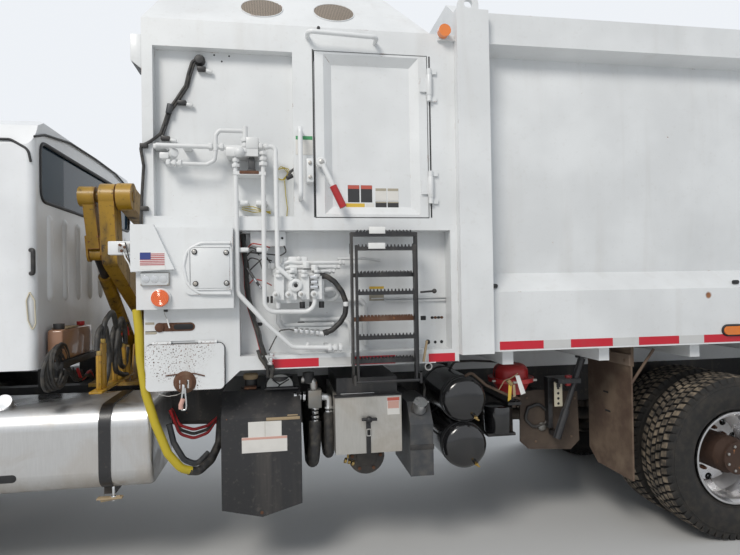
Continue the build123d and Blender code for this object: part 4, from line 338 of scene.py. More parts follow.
# Geometry
class Piece:
    """One mesh object made of simple shapes, each with its own material."""

    def __init__(self, name, body="root", slot=None):
        self.name, self.body, self.slot_name = name, body, slot
        self.mesh = bmesh.new()
        self.materials = []

    def _index(self, mat):
        if mat not in self.materials:
            self.materials.append(mat)
        return self.materials.index(mat)

    def _take(self, made, mat, bevel=0.0, angle=35, segments=2, pick=None):
        """Bevel what a temporary mesh holds, and add it to this piece; pick may name another material for a face."""
        if bevel:
            sharp = [e for e in made.edges if len(e.link_faces) == 2 and e.calc_face_angle(0) > radians(angle)]
            bmesh.ops.bevel(made, geom=sharp, offset=bevel * MM, segments=segments, profile=0.5,
                            affect="EDGES", clamp_overlap=True)
        index = self._index(mat)
        copy = {v: self.mesh.verts.new(v.co) for v in made.verts}
        for face in made.faces:
            new = self.mesh.faces.new([copy[v] for v in face.verts])
            new.material_index = self._index(pick(face) or mat) if pick else index
            new.smooth = True
        made.free()

    def box(self, low, high, mat, bevel=3, segments=2):
        made = bmesh.new()
        bmesh.ops.create_cube(made, size=1)
        low, high = vec(low), vec(high)
        for v in made.verts:
            v.co = Vector([(low[i] + high[i]) / 2 + v.co[i] * abs(high[i] - low[i]) for i in range(3)])
        self._take(made, mat, bevel, segments=segments)

    def prism(self, axis, points, low, high, mat, bevel=2, segments=2):
        """An outline on the two other axes, carried between two values of one axis."""
        made = bmesh.new()
        others = [i for i in range(3) if i != axis]
        ring = []
        for level in (low, high):
            row = []
            for a, b in points:
                co = [0, 0, 0]
                co[axis], co[others[0]], co[others[1]] = level, a, b
                row.append(made.verts.new(vec(co)))
            ring.append(row)
        count = len(points)
        made.faces.new(ring[0])
        made.faces.new(list(reversed(ring[1])))
        for i in range(count):
            made.faces.new([ring[0][i], ring[1][i], ring[1][(i + 1) % count], ring[0][(i + 1) % count]])
        bmesh.ops.recalc_face_normals(made, faces=made.faces)
        self._take(made, mat, bevel, segments=segments)

    def rod(self, start, end, radius, mat, sides=24, bevel=1.5):
        made = bmesh.new()
        start, end = vec(start), vec(end)
        run = end - start
        bmesh.ops.create_cone(made, cap_ends=True, segments=sides, radius1=radius * MM, radius2=radius * MM,
                              depth=run.length)
        turn = run.to_track_quat("Z", "Y").to_matrix().to_4x4()
        bmesh.ops.transform(made, matrix=Matrix.Translation((start + end) / 2) @ turn, verts=made.verts)
        self._take(made, mat, bevel, angle=50)

    def ball(self, centre, radius, mat, sides=16, squash=(1, 1, 1)):
        made = bmesh.new()
        bmesh.ops.create_uvsphere(made, u_segments=sides, v_segments=sides // 2, radius=radius * MM)
        bmesh.ops.transform(made, matrix=Matrix.Translation(vec(centre)) @ Matrix.Diagonal((*squash, 1)),
                            verts=made.verts)
        self._take(made, mat)

    def lathe(self, centre, profile, mat, axis=1, sides=48, way=1, closed=False):
        """A profile of distance along the axis and radius, turned about it."""
        made = bmesh.new()
        others = [i for i in range(3) if i != axis]
        rings = []
        for along, radius in profile:
            row = []
            for k in range(sides):
                turn = 2 * pi * k / sides
                co = list(centre)
                co[axis] += way * along
                co[others[0]] += radius * cos(turn)
                co[others[1]] += radius * sin(turn)
                row.append(made.verts.new(vec(co)))
            rings.append(row)
        pairs = list(zip(rings, rings[1:])) + ([(rings[-1], rings[0])] if closed else [])
        for a, b in pairs:
            for k in range(sides):
                made.faces.new([a[k], a[(k + 1) % sides], b[(k + 1) % sides], b[k]])
        if not closed:
            for row in (rings[0], rings[-1]):
                made.faces.new(row)
        bmesh.ops.recalc_face_normals(made, faces=made.faces)
        self._take(made, mat)

    def tube(self, points, radius, mat, bend=30, sides=12):
        """A round bar along straight runs with rounded corners."""
        path = rounded(points, bend)
        made = bmesh.new()
        rings, side_way = [], None
        for i, p in enumerate(path):
            run = (path[min(i + 1, len(path) - 1)] - path[max(i - 1, 0)]).normalized()
            if side_way is None:
                side_way = run.orthogonal().normalized()
            side_way = (side_way - run * side_way.dot(run)).normalized()
            other = run.cross(side_way)
            turns = [2 * pi * k / sides for k in range(sides)]
            rings.append([made.verts.new(p + (side_way * cos(t) + other * sin(t)) * radius * MM) for t in turns])
        for a, b in zip(rings, rings[1:]):
            for k in range(sides):
                made.faces.new([a[k], a[(k + 1) % sides], b[(k + 1) % sides], b[k]])
        made.faces.new(rings[0])
        made.faces.new(rings[-1])
        bmesh.ops.recalc_face_normals(made, faces=made.faces)
        self._take(made, mat)

    def bolts(self, places, way, radius, height, mat, sides=6):
        """Hexagon heads at places, standing along a direction."""
        for p in places:
            self.rod(p, Vector(p) + Vector(way) * height, radius, mat, sides=sides, bevel=radius * 0.12)

    def done(self, replaces=()):
        mesh = bpy.data.meshes.new(self.name)
        self.mesh.to_mesh(mesh)
        self.mesh.free()
        mesh.set_sharp_from_angle(angle=radians(38))
        for mat in self.materials:
            mesh.materials.append(MAT[mat])
        made = bpy.data.objects.new(self.name, mesh)
        scene.collection.objects.link(made)
        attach(made, self.body)
        if replaces:
            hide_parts(*replaces)


def rounded(points, bend, steps=6):
    """The points of a path in metres, with an arc of the bend's radius at each corner."""
    path = [vec(p) for p in points]
    out = [path[0]]
    for before, corner, after in zip(path, path[1:], path[2:]):
        a, b = before - corner, after - corner
        angle = a.angle(b)
        if angle > radians(178):
            out.append(corner)
            continue
        reach = min(bend * MM / max(1e-6, abs(sin(angle / 2) / max(1e-6, cos(angle / 2)))), a.length * 0.49,
                    b.length * 0.49)
        p, q = corner + a.normalized() * reach, corner + b.normalized() * reach
        for k in range(steps + 1):
            t = k / steps
            out.append(p * (1 - t) ** 2 + corner * 2 * t * (1 - t) + q * t ** 2)
    out.append(path[-1])
    return out


def dress(node, mat, *parts):
    """Give a carried-over solid its material, and another to the faces whose middle passes a part's test."""
    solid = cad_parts[node]
    solid.data.materials.clear()
    for name in (mat, *(name for name, inside in parts)):
        solid.data.materials.append(MAT[name])
    for face in solid.data.polygons if parts else ():
        x, y, z = (solid.matrix_world @ face.center) / MM
        for index, (name, inside) in enumerate(parts, 1):
            if inside(x, y, z):
                face.material_index = index


DRESS = {
    "chassis": ["chassis_frame", "engine", "front_axle", "rear_axles", "knuckle_left", "knuckle_right"],
    "chrome": ["front_bumper", "gate_rods", "lift_rod"],
    "cab": ["cab_shell", "hood", "door_left", "door_right"],
    "glass": ["cab_glass", "glass_left", "glass_right"],
    "plastic": ["mirrors", "dashboard"],
    "aluminium": ["fuel_tanks"],
    "black": ["hydraulic_tank", "ladder", "ladder_fold", "brake_gear"],
    "gloss": ["air_tanks"],
    "cover": ["battery_box"],
    "grey": ["fluid_tank"],
    "white": ["hopper", "access_door", "lamp_pod", "gate_barrels"],
    "flap_paint": ["utility_flap"],
    "body": ["body_shell", "tailgate"],
    "pipe": ["hydraulic_plumbing"],
    "steel": ["packer_blade"],
    "flap": ["mudflaps"],
    "amber": ["marker_lamps"],
    "red_lens": ["tail_lamps"],
    "clear": ["headlamps"],
    "yellow": ["arm_base", "lower_boom", "knee_lever", "upper_boom", "level_strut", "finger_front",
               "finger_rear", "lift_barrel"],
    "rim": ["rim_front_left", "rim_front_right"] + [f"rims_rear_{n}_{w}" for n in (1, 2) for w in ("left", "right")],
}


def strut_share(y, z):
    """How far up the levelling strut a point lies, from 0 at its lower pin to 1 at its upper one."""
    (y0, z0), (dy, dz) = STRUT_FOOT, STRUT_RUN
    return ((y - y0) * dy + (z - z0) * dz) / (dy ** 2 + dz ** 2)


def axle_distance(x, z):
    """How far a point lies from the nearer rear axle's line."""
    return min(((x - at) ** 2 + (z - TYRE_RADIUS) ** 2) ** 0.5 for at in REAR_AXLES)


PARTS = {
    "ladder": [("white", lambda x, y, z: z > 2050), ("rust", lambda x, y, z: 1478 < z < 1506 and -605 < x < -240)],
    "cab_shell": [("chassis", lambda x, y, z: z < 1239)],
    "battery_box": [("black", lambda x, y, z: z > 1044), ("chassis", lambda x, y, z: z < 709)],
    "fuel_tanks": [("black", lambda x, y, z: min(abs(x + 3050), abs(x + (1960 if y < 0 else 2500))) < 32),
                   ("bright", lambda x, y, z: z > 1028 and abs(x + 2506) < 80)],
    "fluid_tank": [("bright", lambda x, y, z: z > 915 and y < -1085)],
    "marker_lamps": [("white",
                      lambda x, y, z: z > 3100 and ((x + 39) ** 2 + (z - 3160) ** 2 > 37 ** 2 or abs(y) < 1242)),
                     ("orange", lambda x, y, z: abs(x + 1630) < 50 and abs(z - 1633) < 50),
                     ("clear", lambda x, y, z: x < -1560 and 1690 < z < 1775)],
    "level_strut": [("black", lambda x, y, z: 0.05 < strut_share(y, z) < 0.083 or 0.832 < strut_share(y, z) < 0.95)],
    **{f"door_{w}": [("plastic", lambda x, y, z: -2775 < x < -2625 and abs(y) > 1032 and 1875 < z < 1920)]
       for w in ("left", "right")},
    "brake_gear": [("red", lambda x, y, z: z > 950 and (x - 487) ** 2 + (y + 900) ** 2 < 130 ** 2),
                   ("splash", lambda x, y, z: -808 < y < -792),
                   ("grey", lambda x, y, z: -912 < y < -898)],
    # Rear rims: rusty hub faces, and inner wheel faces darkened as painted shade with grime
    **{f"rims_rear_{n}_{w}": [("hub", lambda x, y, z: abs(y) > 915 and axle_distance(x, z) < 124),
                              ("rim_shade_and_grime", lambda x, y, z: abs(y) < 895)] for n in (1, 2) for w in ("left", "right")},
}
bpy.context.view_layer.update()
for mat, nodes in DRESS.items():
    for node in nodes:
        dress(node, mat, *PARTS.get(node, ()))


# Tyres: a moulded casing with a ring of tread blocks; the sidewall as radius and half width
SIDEWALL = [(298, 92), (310, 104), (330, 118), (368, 132), (410, 139), (452, 136), (488, 126), (503, 118)]


def tyre(piece, x, y, lugs):
    """One tyre at an axle's x and a tyre's y; lugs is True for the deep blocks of a driven wheel."""
    centre = (x, y, TYRE_RADIUS)
    profile = ([(-width, radius) for radius, width in SIDEWALL] + [(-100, 509), (0, 512), (100, 509)]
               + [(width, radius) for radius, width in reversed(SIDEWALL)] + [(80, 300), (-80, 300)])
    piece.lathe(centre, profile, "tyre", sides=72, closed=True)
    for way in (-1, 1):
        for radius in (322, 470):
            piece.lathe(centre, [(way * sidewall(radius - 4), radius - 4), (way * (sidewall(radius) + 3), radius - 2),
                                 (way * (sidewall(radius) + 3), radius + 2),
                                 (way * sidewall(radius + 4), radius + 4)],
                        "tyre", sides=72, closed=True)
    count = 60 if lugs else 64
    rows = ([(-124, -74, 0.0), (-66, -24, 0.5), (-18, 18, 0.0), (24, 66, 0.5), (74, 124, 0.0)] if lugs
            else [(-122, -78, 0.0), (-70, -28, 0.0), (-20, 20, 0.0), (28, 70, 0.0), (78, 122, 0.0)])
    gap = 0.12 if lugs else 0.10
    hub = vec(centre)

    def outer(face):
        """The tops of the blocks carry dust, their sides don't."""
        out = face.calc_center_median() - hub
        out.y = 0
        return "tread" if face.normal.dot(out.normalized()) > 0.8 else "tyre"

    for a, b, shift in rows:
        for k in range(count):
            turn = (k + shift) / count * 2 * pi
            width = 2 * pi / count * (1 - gap) / 2
            skew = 0.25 * width * (1 if a < 0 else -1)
            made = bmesh.new()
            corners = []
            for offset, tilt in ((a, -skew), (b, skew)):
                edge = abs(offset) > 100
                crown = TYRE_RADIUS - 0.0011 * max(0, abs(offset) - 60) ** 2
                low = 484 if edge else 506
                for radius, squeeze in ((low, 1.0), (crown, 0.86)):
                    out = offset * (1.04 if edge and radius < 500 else 1)
                    for t in (turn - width * squeeze + tilt, turn + width * squeeze + tilt):
                        place = (x + radius * cos(t), y + out, TYRE_RADIUS + radius * sin(t))
                        corners.append(made.verts.new(vec(place)))
            for quad in ((0, 1, 3, 2), (4, 6, 7, 5), (0, 4, 5, 1), (2, 3, 7, 6), (0, 2, 6, 4), (1, 5, 7, 3)):
                made.faces.new([corners[i] for i in quad])
            bmesh.ops.recalc_face_normals(made, faces=made.faces)
            piece._take(made, "tread", 2.5, segments=1, pick=outer)


def sidewall(radius):
    """How far the tyre's sidewall stands from its middle at a radius."""
    for (r0, w0), (r1, w1) in zip(SIDEWALL, SIDEWALL[1:]):
        if r0 <= radius <= r1:
            return w0 + (w1 - w0) * (radius - r0) / (r1 - r0)
    return SIDEWALL[-1][1]


def studs(piece, x, y, ring, count, heads, shift=0.0):
    """Studs about a wheel's axle; each head is a height, a radius, a material and a number of sides."""
    for k in range(count):
        turn = 2 * pi * (k + shift) / count
        at = (x + ring * cos(turn), y, TYRE_RADIUS + ring * sin(turn))
        for height, radius, mat, sides in heads:
            piece.rod(at, (at[0], at[1] + height, at[2]), radius, mat, sides=sides)


for word, side in (("left", -1), ("right", 1)):
    front = Piece(f"front_tyre_{word}", f"wheel_front_{word}", "tyre_rubber")
    tyre(front, FRONT_AXLE, side * FRONT_TRACK, False)
    front.done([f"tyre_front_{word}"])
    trim = Piece(f"front_wheel_nuts_{word}", f"wheel_front_{word}", "rim_alloy")
    studs(trim, FRONT_AXLE, side * FRONT_FACE, STUD_RING, 10,
          [(side * 26, 15, "bright", 6), (side * 38, 9, "steel", 12)])
    trim.done()
    for number, x in enumerate(REAR_AXLES, 1):
        duals = Piece(f"rear_tyres_{number}_{word}", f"wheel_rear_{number}_{word}", "tyre_rubber")
        for track in DUAL_TRACKS:
            tyre(duals, x, side * track, True)
        duals.done([f"tyres_rear_{number}_{word}"])
        hub = Piece(f"rear_hub_{number}_{word}", f"wheel_rear_{number}_{word}", "rim_alloy")
        studs(hub, x, side * REAR_FACE, STUD_RING, 10, [(side * 28, 16, "rust", 6), (side * 44, 10, "rust", 12)])
        studs(hub, x, side * CAP_FACE, CAP_RING, 8, [(side * 10, 10, "steel", 6)], 0.5)
        hub.done()


# Seats: crowned cushions with a sewn channel, on their pedestals
def cushion(name, low, high, lean=0.0):
    """A crowned pad whose sides pull in between its corners."""
    mesh = bmesh.new()
    bmesh.ops.create_cube(mesh, size=2)
    bmesh.ops.subdivide_edges(mesh, edges=mesh.edges, cuts=9, use_grid_fill=True)
    low, high = vec(low), vec(high)
    centre, half = (low + high) / 2, (high - low) / 2
    for v in mesh.verts:
        u = v.co.copy()
        pinch = [1 - 0.07 * (1 - abs(u[(i + 1) % 3])) * (1 - abs(u[(i + 2) % 3])) * abs(u[i]) ** 8 for i in range(3)]
        round_off = 1 - 0.10 * (max(0, abs(u.x) - 0.6) + max(0, abs(u.y) - 0.6)) * max(0, abs(u.z) - 0.4)
        groove = 0.05 * (2.718 ** (-((abs(u.y) - 0.55) / 0.05) ** 2)) * (abs(u.z) > 0.98 or abs(u.x) > 0.98)
        u = Vector([u[i] * pinch[i] * round_off * (1 - groove) for i in range(3)])
        v.co = centre + Vector([u[i] * half[i] for i in range(3)])
        v.co.x += lean * (v.co.z - low.z)
    for face in mesh.faces:
        face.smooth = True
    data = bpy.data.meshes.new(name)
    mesh.to_mesh(data)
    mesh.free()
    data.materials.append(MAT["cloth"])
    made = bpy.data.objects.new(name, data)
    scene.collection.objects.link(made)
    smooth = made.modifiers.new("smooth", "SUBSURF")
    smooth.levels = smooth.render_levels = 1
    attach(made, "root")


pedestals = Piece("seat_pedestals", "root", "mirror_black")
for side, word in ((-1, "left"), (1, "right")):
    y = side * SEAT_TRACK
    pedestals.box((-3050, y - 140, 1287), (-2650, y + 140, 1560), "plastic", 12)
    pedestals.tube([(-2520, y - 90, 2200), (-2506, y - 90, 2270), (-2506, y + 90, 2270),
                    (-2520, y + 90, 2200)], 9, "plastic", 20)
    cushion(f"seat_base_{word}", (-3125, y - 245, 1565), (-2600, y + 245, 1705))
    cushion(f"seat_back_{word}", (-2700, y - 240, 1700), (-2570, y + 240, 2215), 0.16)
    cushion(f"head_rest_{word}", (-2610, y - 130, 2200), (-2520, y + 130, 2285))
pedestals.done(["seats"])


# Small things that stand on the solids, region by region; measures in millimetres
def plate(piece, x, z, y, mat, out=2.5, band=None, share=0.22):
    """A blank plate on a face that looks to the driver's side, with an optional coloured band along its top."""
    piece.box((x[0], y - out, z[0]), (x[1], y + 1, z[1]), mat, 1, segments=1)
    if band:
        piece.box((x[0] + 1, y - out - 0.8, z[1] - (z[1] - z[0]) * share), (x[1] - 1, y - out + 1, z[1] - 1), band, 0)


def oval(x, z, steps=8):
    """A slot's outline with round ends."""
    r = (z[1] - z[0]) / 2
    turn = [pi / 2 + pi * k / steps for k in range(steps + 1)]
    return ([(x[0] + r + r * cos(t), z[0] + r + r * sin(t)) for t in turn]
            + [(x[1] - r - r * cos(t), z[0] + r - r * sin(t)) for t in turn])


# Draws a hole or slot as a thin flat plate on the face; near-black by default, as painted shade of the opening
def hole(piece, x, z, y, mat="screen", out=1.5):
    piece.prism(1, oval(x, z), y - out, y + 2, mat, 0.4)


def nuts(piece, at, way, radius, mat="pipe", count=2, step=30):
    """A pipe fitting: hexagons along a pipe."""
    at, way = Vector(at), Vector(way)
    for k in range(count):
        piece.rod(at + way * step * k, at + way * (step * k + step * 0.62),
                  radius * (1 if k % 2 == 0 else 0.86), mat, sides=6)


def hopper_side():
    """The driver's side of the hopper above the valve bay, with its canopy."""
    back = -1158
    wires = Piece("hopper_harness")
    run = [(-1433, -1176, 2957), (-1470, -1180, 2950), (-1492, -1178, 2881), (-1509, -1174, 2812),
           (-1559, -1174, 2733), (-1601, -1174, 2671),
           (-1622, -1176, 2603), (-1643, -1186, 2534), (-1690, -1238, 2475), (-1728, -1240, 2455)]
    wires.tube(run, 9, "hose", 40)
    wires.tube([(x + 12, y + 3, z - 5) for x, y, z in run[:8]], 6, "hose", 40)
    wires.tube([(x + 4, y - 8, z - 18) for x, y, z in run[2:7]], 4, "hose", 40)
    wires.tube([(-1728, -1240, 2455), (-1736, -1240, 2440), (-1722, -1238, 2346), (-1732, -1238, 2191),
                (-1739, -1236, 2060), (-1741, -1230, 2015)], 8, "hose", 30)
    wires.lathe((-1433, back, 2957), [(1, 30), (20, 30), (34, 22), (36, 8)], "plastic", way=-1, sides=24)
    wires.rod((-1600, -1186, 2648), (-1590, -1186, 2700), 17, "grey")
    for x, z in ((-1527, 2712), (-1617, 2511), (-1420, 2905)):
        wires.box((x - 26, -1194, z - 10), (x + 22, back, z + 12), "plastic", 4)
        wires.rod((x + 22, -1176, z - 6), (x + 54, -1176, z - 14), 12, "pipe")
    for z in (2455, 2115):
        wires.box((-1740, -1250, z - 12), (-1700, -1221, z + 12), "plastic", 4)
    wires.tube([(-952, -1272, 2288), (-940, -1240, 2326), (-920, -1190, 2350), (-893, -1172, 2372)], 8, "hose", 20)
    wires.rod((-960, -1272, 2284), (-930, -1260, 2300), 12, "plastic")
    for k in range(3):
        wires.tube([(-1010 + 6 * k, -1176, 2346 + 5 * k), (-990 + 20 * k, -1174, 2375 - 8 * k),
                    (-950 + 5 * k, -1172, 2330), (-985 + 4 * k, -1170, 2290),
                    (-1012 + 4 * k, -1170, 2300)], 2.2, "yellow_hose", 16, 6)
        wires.tube([(-1212, -1176, 2140 - 9 * k), (-1150, -1186, 2136 - 16 * k), (-1100, -1176, 2120 - 5 * k),
                    (-1052, -1170, 2098 + 7 * k)], 2.2, "yellow_hose", 20, 6)
    wires.tube([(-972, -1170, 2290), (-966, -1172, 2200), (-958, -1172, 2130), (-962, -1164, 2086)], 2.5,
               "yellow_hose", 20, 6)
    wires.done()

    trim = Piece("hopper_fittings", slot="white_body")
    trim.tube([(-1342, -1262, 2429), (-1342, -1262, 2514), (-1322, -1262, 2542), (-1199, -1262, 2542),
               (-1184, -1262, 2532)], 12, "pipe", 24)
    trim.tube([(-1604, -1252, 2360), (-1390, -1252, 2356), (-1350, -1256, 2378), (-1342, -1262, 2429)], 11,
              "pipe", 20)
    trim.tube([(-1184, -1262, 2566), (-1184, -1262, 2420)], 15, "pipe", 20)
    for at, way, radius, count in (((-1184, -1262, 2500), (0, 0, -1), 25, 3),
                                   ((-1300, -1252, 2454), (-1, 0, 0), 23, 3),
                                   ((-1600, -1252, 2360), (1, 0, 0), 22, 3),
                                   ((-1236, -1256, 2420), (0, 0, -1), 24, 3),
                                   ((-1089, -1260, 2430), (0, 0, -1), 25, 3),
                                   ((-1110, -1270, 2457), (1, 0, 0), 22, 2)):
        nuts(trim, at, way, radius, count=count)
    trim.box((-1290, -1280, 2398), (-1170, -1160, 2452), "pipe", 10)
    trim.ball((-1215, -1280, 2420), 30, "pipe")
    trim.box((-1180, -1290, 2440), (-1112, -1160, 2505), "pipe", 8)
    trim.box((-1217, -1276, 2304), (-1112, -1180, 2322), "rust", 4)
    trim.box((-1170, -1262, 2328), (-1134, -1200, 2398), "grey", 7)
    trim.box((-1176, -1266, 2318), (-1128, -1196, 2332), "plastic", 4)
    for x, z in ((-1640, 2454), (-1205, 2150), (-1100, 2150), (-1205, 1890), (-1100, 1890)):
        trim.box((x - 32, -1248, z - 12), (x + 32, -1150, z + 12), "pipe", 4)
        trim.bolts([(x + 22, -1248, z)], (0, -1, 0), 9, 8, "pipe")
    trim.rod((-1600, -1180, 2402), (-1560, -1250, 2420), 26, "pipe", sides=8)
    trim.box((-1640, -1250, 2385), (-1590, -1160, 2420), "pipe", 6)
    # Three small holes drawn as dark discs: painted shade
    for x, z in ((-1355, 2996), (-1273, 2994), (-1314, 2962)):
        trim.rod((x, back - 2, z), (x, back + 3, z), 5, "screen", sides=12)
    plate(trim, (-908, -812), (2427, 2535), -1220, "plate", band="plate_green", share=0.2)
    for x, top in ((-809, 3032), (-126, 3024)):
        trim.box((x, -1223, 2074), (x + 8, -1219, top), "sealant_and_shade", 1)
    # Latch knuckle beside the door, and the front lamp box
    trim.box((-852, -1282, 2262), (-812, -1219, 2396), "white", 6)
    trim.bolts([(-832, -1282, 2370), (-832, -1282, 2290)], (0, -1, 0), 11, 9, "steel")
    trim.prism(1, [(-1734, 3069), (-1790, 3069), (-1790, 2925), (-1734, 2880)], -1216, -1010, "white", 3)
    # A thin near-black sliver along the box's sloped underside: painted shade
    trim.prism(1, [(-1740, 2887), (-1786, 2924), (-1786, 2920), (-1740, 2882)], -1206, -1020, "sealant_and_shade", 0)
    # Canopy: two round screens, a drip edge and its bolts
    slope = Vector((0, 360, 400)).normalized()
    out = Vector((0, -slope.z, slope.y))
    for x in (-1089, -666):
        at = Vector((x, -1078, 3317.8))
        trim.rod(at - out * 4, at + out * 3, 120, "mesh", sides=64, bevel=0.5)
        ring = [at + out * 3 + Vector((1, 0, 0)) * 121 * cos(2 * pi * k / 48) + slope * 121 * sin(2 * pi * k / 48)
                for k in range(49)]
        trim.tube(ring, 3, "white", 4, 6)
    trim.rod((-770, -1221, 3152), (-770, -1236, 3152), 9, "sealant_and_shade")
    trim.done()

    lever = Piece("door_lever", "access_door")
    lever.lathe((-766, -1220, 2379), [(30, 30), (44, 30), (50, 24), (50, 10)], "pipe", way=-1, sides=24)
    lever.bolts([(-766, -1268, 2379)], (0, -1, 0), 15, 10, "steel")
    lever.tube([(-766, -1262, 2379), (-700, -1270, 2236)], 15, "pipe", 10)
    lever.tube([(-704, -1270, 2244), (-648, -1276, 2124)], 21, "grip_red", 10, 16)
    lever.tube([(-746, -1256, 2330), (-722, -1240, 2270), (-705, -1230, 2262)], 11, "pipe", 10)
    for x, z in ((-128, 2850), (-128, 2250)):
        lever.rod((x, -1237, z - 60), (x, -1237, z + 60), 16.5, "white", sides=24)
    lever.done()

    signs = Piece("door_signs", "access_door")
    floor = -1181
    for x, z, mat, band in (((-610, -542), (2166, 2266), "plate_dark", "plate_red"),
                            ((-534, -467), (2166, 2266), "plate_dark", "plate_red"),
                            ((-448, -382), (2178, 2250), "plate", "plate_dull"),
                            ((-376, -310), (2178, 2250), "plate", "plate_dull"),
                            ((-448, -382), (2136, 2172), "plate_dark", "plate_dull"),
                            ((-376, -310), (2136, 2172), "plate_dark", "plate_dull"),
                            ((-622, -512), (2136, 2160), "plate_yellow", None),
                            ((-506, -458), (2136, 2160), "plate", None)):
        plate(signs, x, z, floor, mat, band=band)
    signs.done()


def pod():
    """The lamp pod and the plate below it."""
    p = Piece("pod_fittings", slot="white_body")
    face, shroud = -1290, -1324
    plate(p, (-1729, -1600), (1783, 1876), shroud, "plate_white", out=1)
    for k in range(7):
        p.box((-1726, shroud - 1.8, 1806 + 9.4 * k), (-1603, shroud, 1811 + 9.4 * k), "stripe_red", 0)
    p.box((-1726, shroud - 2.4, 1836), (-1672, shroud, 1873), "plate_blue", 0)
    # Bolted cover with its raised seam
    p.box((-1476, face - 17, 1680), (-1272, face - 11, 1898), "white", 3)
    for out, radius, bend, seam in (
            (12, 8, 70, ((-1266, 1924), (-1420, 1924), (-1492, 1888), (-1512, 1800), (-1492, 1700), (-1430, 1654),
                         (-1266, 1650))),
            (16, 4, 24, ((-1270, 1902), (-1470, 1902), (-1482, 1880), (-1482, 1692), (-1466, 1674), (-1270, 1674)))):
        p.tube([(x, face - out, z) for x, z in seam], radius, "white", bend)
    for x, z in ((-1454, 1876), (-1289, 1871), (-1450, 1706), (-1289, 1707)):
        p.rod((x, face - 16, z), (x, face - 20, z), 15, "sealant_and_shade")
        p.bolts([(x, face - 20, z)], (0, -1, 0), 11, 9, "steel")
    # Lamps
    p.box((-1731, face - 10, 1697), (-1583, face - 1, 1769), "steel", 5)
    for k in range(3):
        p.lathe((-1701 + 44 * k, face - 22, 1733), [(0, 20), (2, 19), (3, 8), (3, 3)], "bright", way=-1, sides=20)
    for x in (-1724, -1590):
        p.rod((x, face - 22, 1706), (x, face - 25, 1706), 5, "steel", sides=8)
    p.lathe((-1630, face, 1633), [(0, 53), (14, 53), (18, 48), (18, 40)], "white", way=-1)
    p.lathe((-1630, face - 30, 1633), [(-2, 45), (4, 44), (6, 40), (4, 37), (6, 33), (4, 29), (6, 25),
                                       (4, 21), (6, 16), (4, 12), (6, 7), (6, 2)], "orange", way=-1)
    # White channel with its lead, ahead of the pod
    p.box((-1902, -1262, 1866), (-1776, -1196, 1938), "white", 5)
    p.box((-1850, -1268, 1880), (-1790, -1260, 1926), "steel", 3)
    p.bolts([(-1838, -1268, 1917), (-1815, -1268, 1905), (-1830, -1268, 1886)], (0, -1, 0), 8, 8, "rust")
    p.tube([(-1822, -1266, 1880), (-1812, -1270, 1850), (-1790, -1280, 1815), (-1776, -1290, 1772)], 4, "pipe", 30)
    p.tube([(-1812, -1270, 1930), (-1800, -1290, 1895), (-1790, -1290, 1852), (-1780, -1290, 1805)], 3, "hose", 30)
    # Slot with its rusty catch, tag on a wire, small plates
    hole(p, (-1671, -1468), (1450, 1496), -1220, "rust", 3)
    # The slot's dark inside is a flat plate: painted shade; the outer one is rust
    hole(p, (-1580, -1476), (1458, 1488), -1222, "screen", 2)
    p.ball((-1652, -1224, 1472), 26, "rust", squash=(1, 0.4, 1))
    p.tube([(-1618, -1236, 1572), (-1624, -1240, 1550), (-1612, -1240, 1520)], 2, "steel", 8, 6)
    p.box((-1628, -1240, 1556), (-1608, -1226, 1572), "plastic", 3)
    p.prism(1, [(-1614, 1520), (-1607, 1520), (-1594, 1470), (-1601, 1468)], -1244, -1241, "plate_white", 1)
    plate(p, (-1727, -1680), (1488, 1501), -1220, "plate_dull", out=1)
    plate(p, (-1727, -1668), (1436, 1454), -1220, "plate_dull", out=1.5, band="plate_dark")
    p.box((-1600, -1226, 1396), (-1470, -1221, 1402), "white", 2)
    # Yellow conduit that runs down in front, into a black hose
    p.tube([(-1776, -1196, 1572), (-1764, -1204, 1470), (-1757, -1206, 1300), (-1732, -1206, 1117),
            (-1684, -1206, 950), (-1622, -1196, 782), (-1556, -1176, 690), (-1510, -1150, 668)],
           23, "yellow_hose", 90)
    p.tube([(-1520, -1156, 670), (-1470, -1120, 652), (-1412, -1050, 690), (-1376, -960, 760),
            (-1374, -860, 900)], 24, "hose", 60)
    p.tube([(-1650, -1010, 900), (-1625, -1010, 790), (-1570, -1010, 690), (-1500, -1000, 650),
            (-1440, -940, 700)], 17, "grey", 60)
    for k, mat in enumerate(("grip_red", "hose", "grip_red")):
        p.tube([(-1660, -880 - 20 * k, 960), (-1610, -900, 862 - 26 * k), (-1530, -900, 832 - 26 * k),
                (-1450, -880, 846 - 22 * k), (-1392, -860, 890)], 9, mat, 60)
    p.done()

    f = Piece("flap_fittings", "utility_flap")
    y = -1250
    f.prism(1, [(x, z) for x, z in rounded_box((-1726, -1308), (1127, 1385), 34)], -1227, -1224, "sealant_and_shade", 0)
    f.lathe((-1520, y, 1176), [(0, 60), (4, 58), (12, 46), (22, 42), (24, 20)], "rust", way=-1, sides=28)
    f.box((-1540, -1284, 1136), (-1504, -1252, 1196), "rust", 8)
    f.box((-1529, -1290, 1120), (-1515, -1262, 1170), "bright", 4)
    f.tube([(-1618, y - 3, 1214), (-1560, y - 3, 1220), (-1470, y - 3, 1222), (-1416, y - 3, 1206)], 3.5,
           "rust", 60, 6)
    f.tube([(-1524, -1284, 1150), (-1536, -1284, 1060), (-1536, -1284, 1034), (-1510, -1284, 1034),
            (-1508, -1284, 1060), (-1514, -1284, 1150)], 5, "bright", 12)
    f.tube([(-1524, -1284, 1094), (-1536, -1286, 1062), (-1536, -1286, 1040)], 12, "tag_pink", 8)
    f.tube([(-1674, -1238, 1136), (-1650, -1242, 1112), (-1609, -1244, 1102), (-1560, -1244, 1108),
            (-1530, -1262, 1126)], 2, "steel", 20, 6)
    f.done()


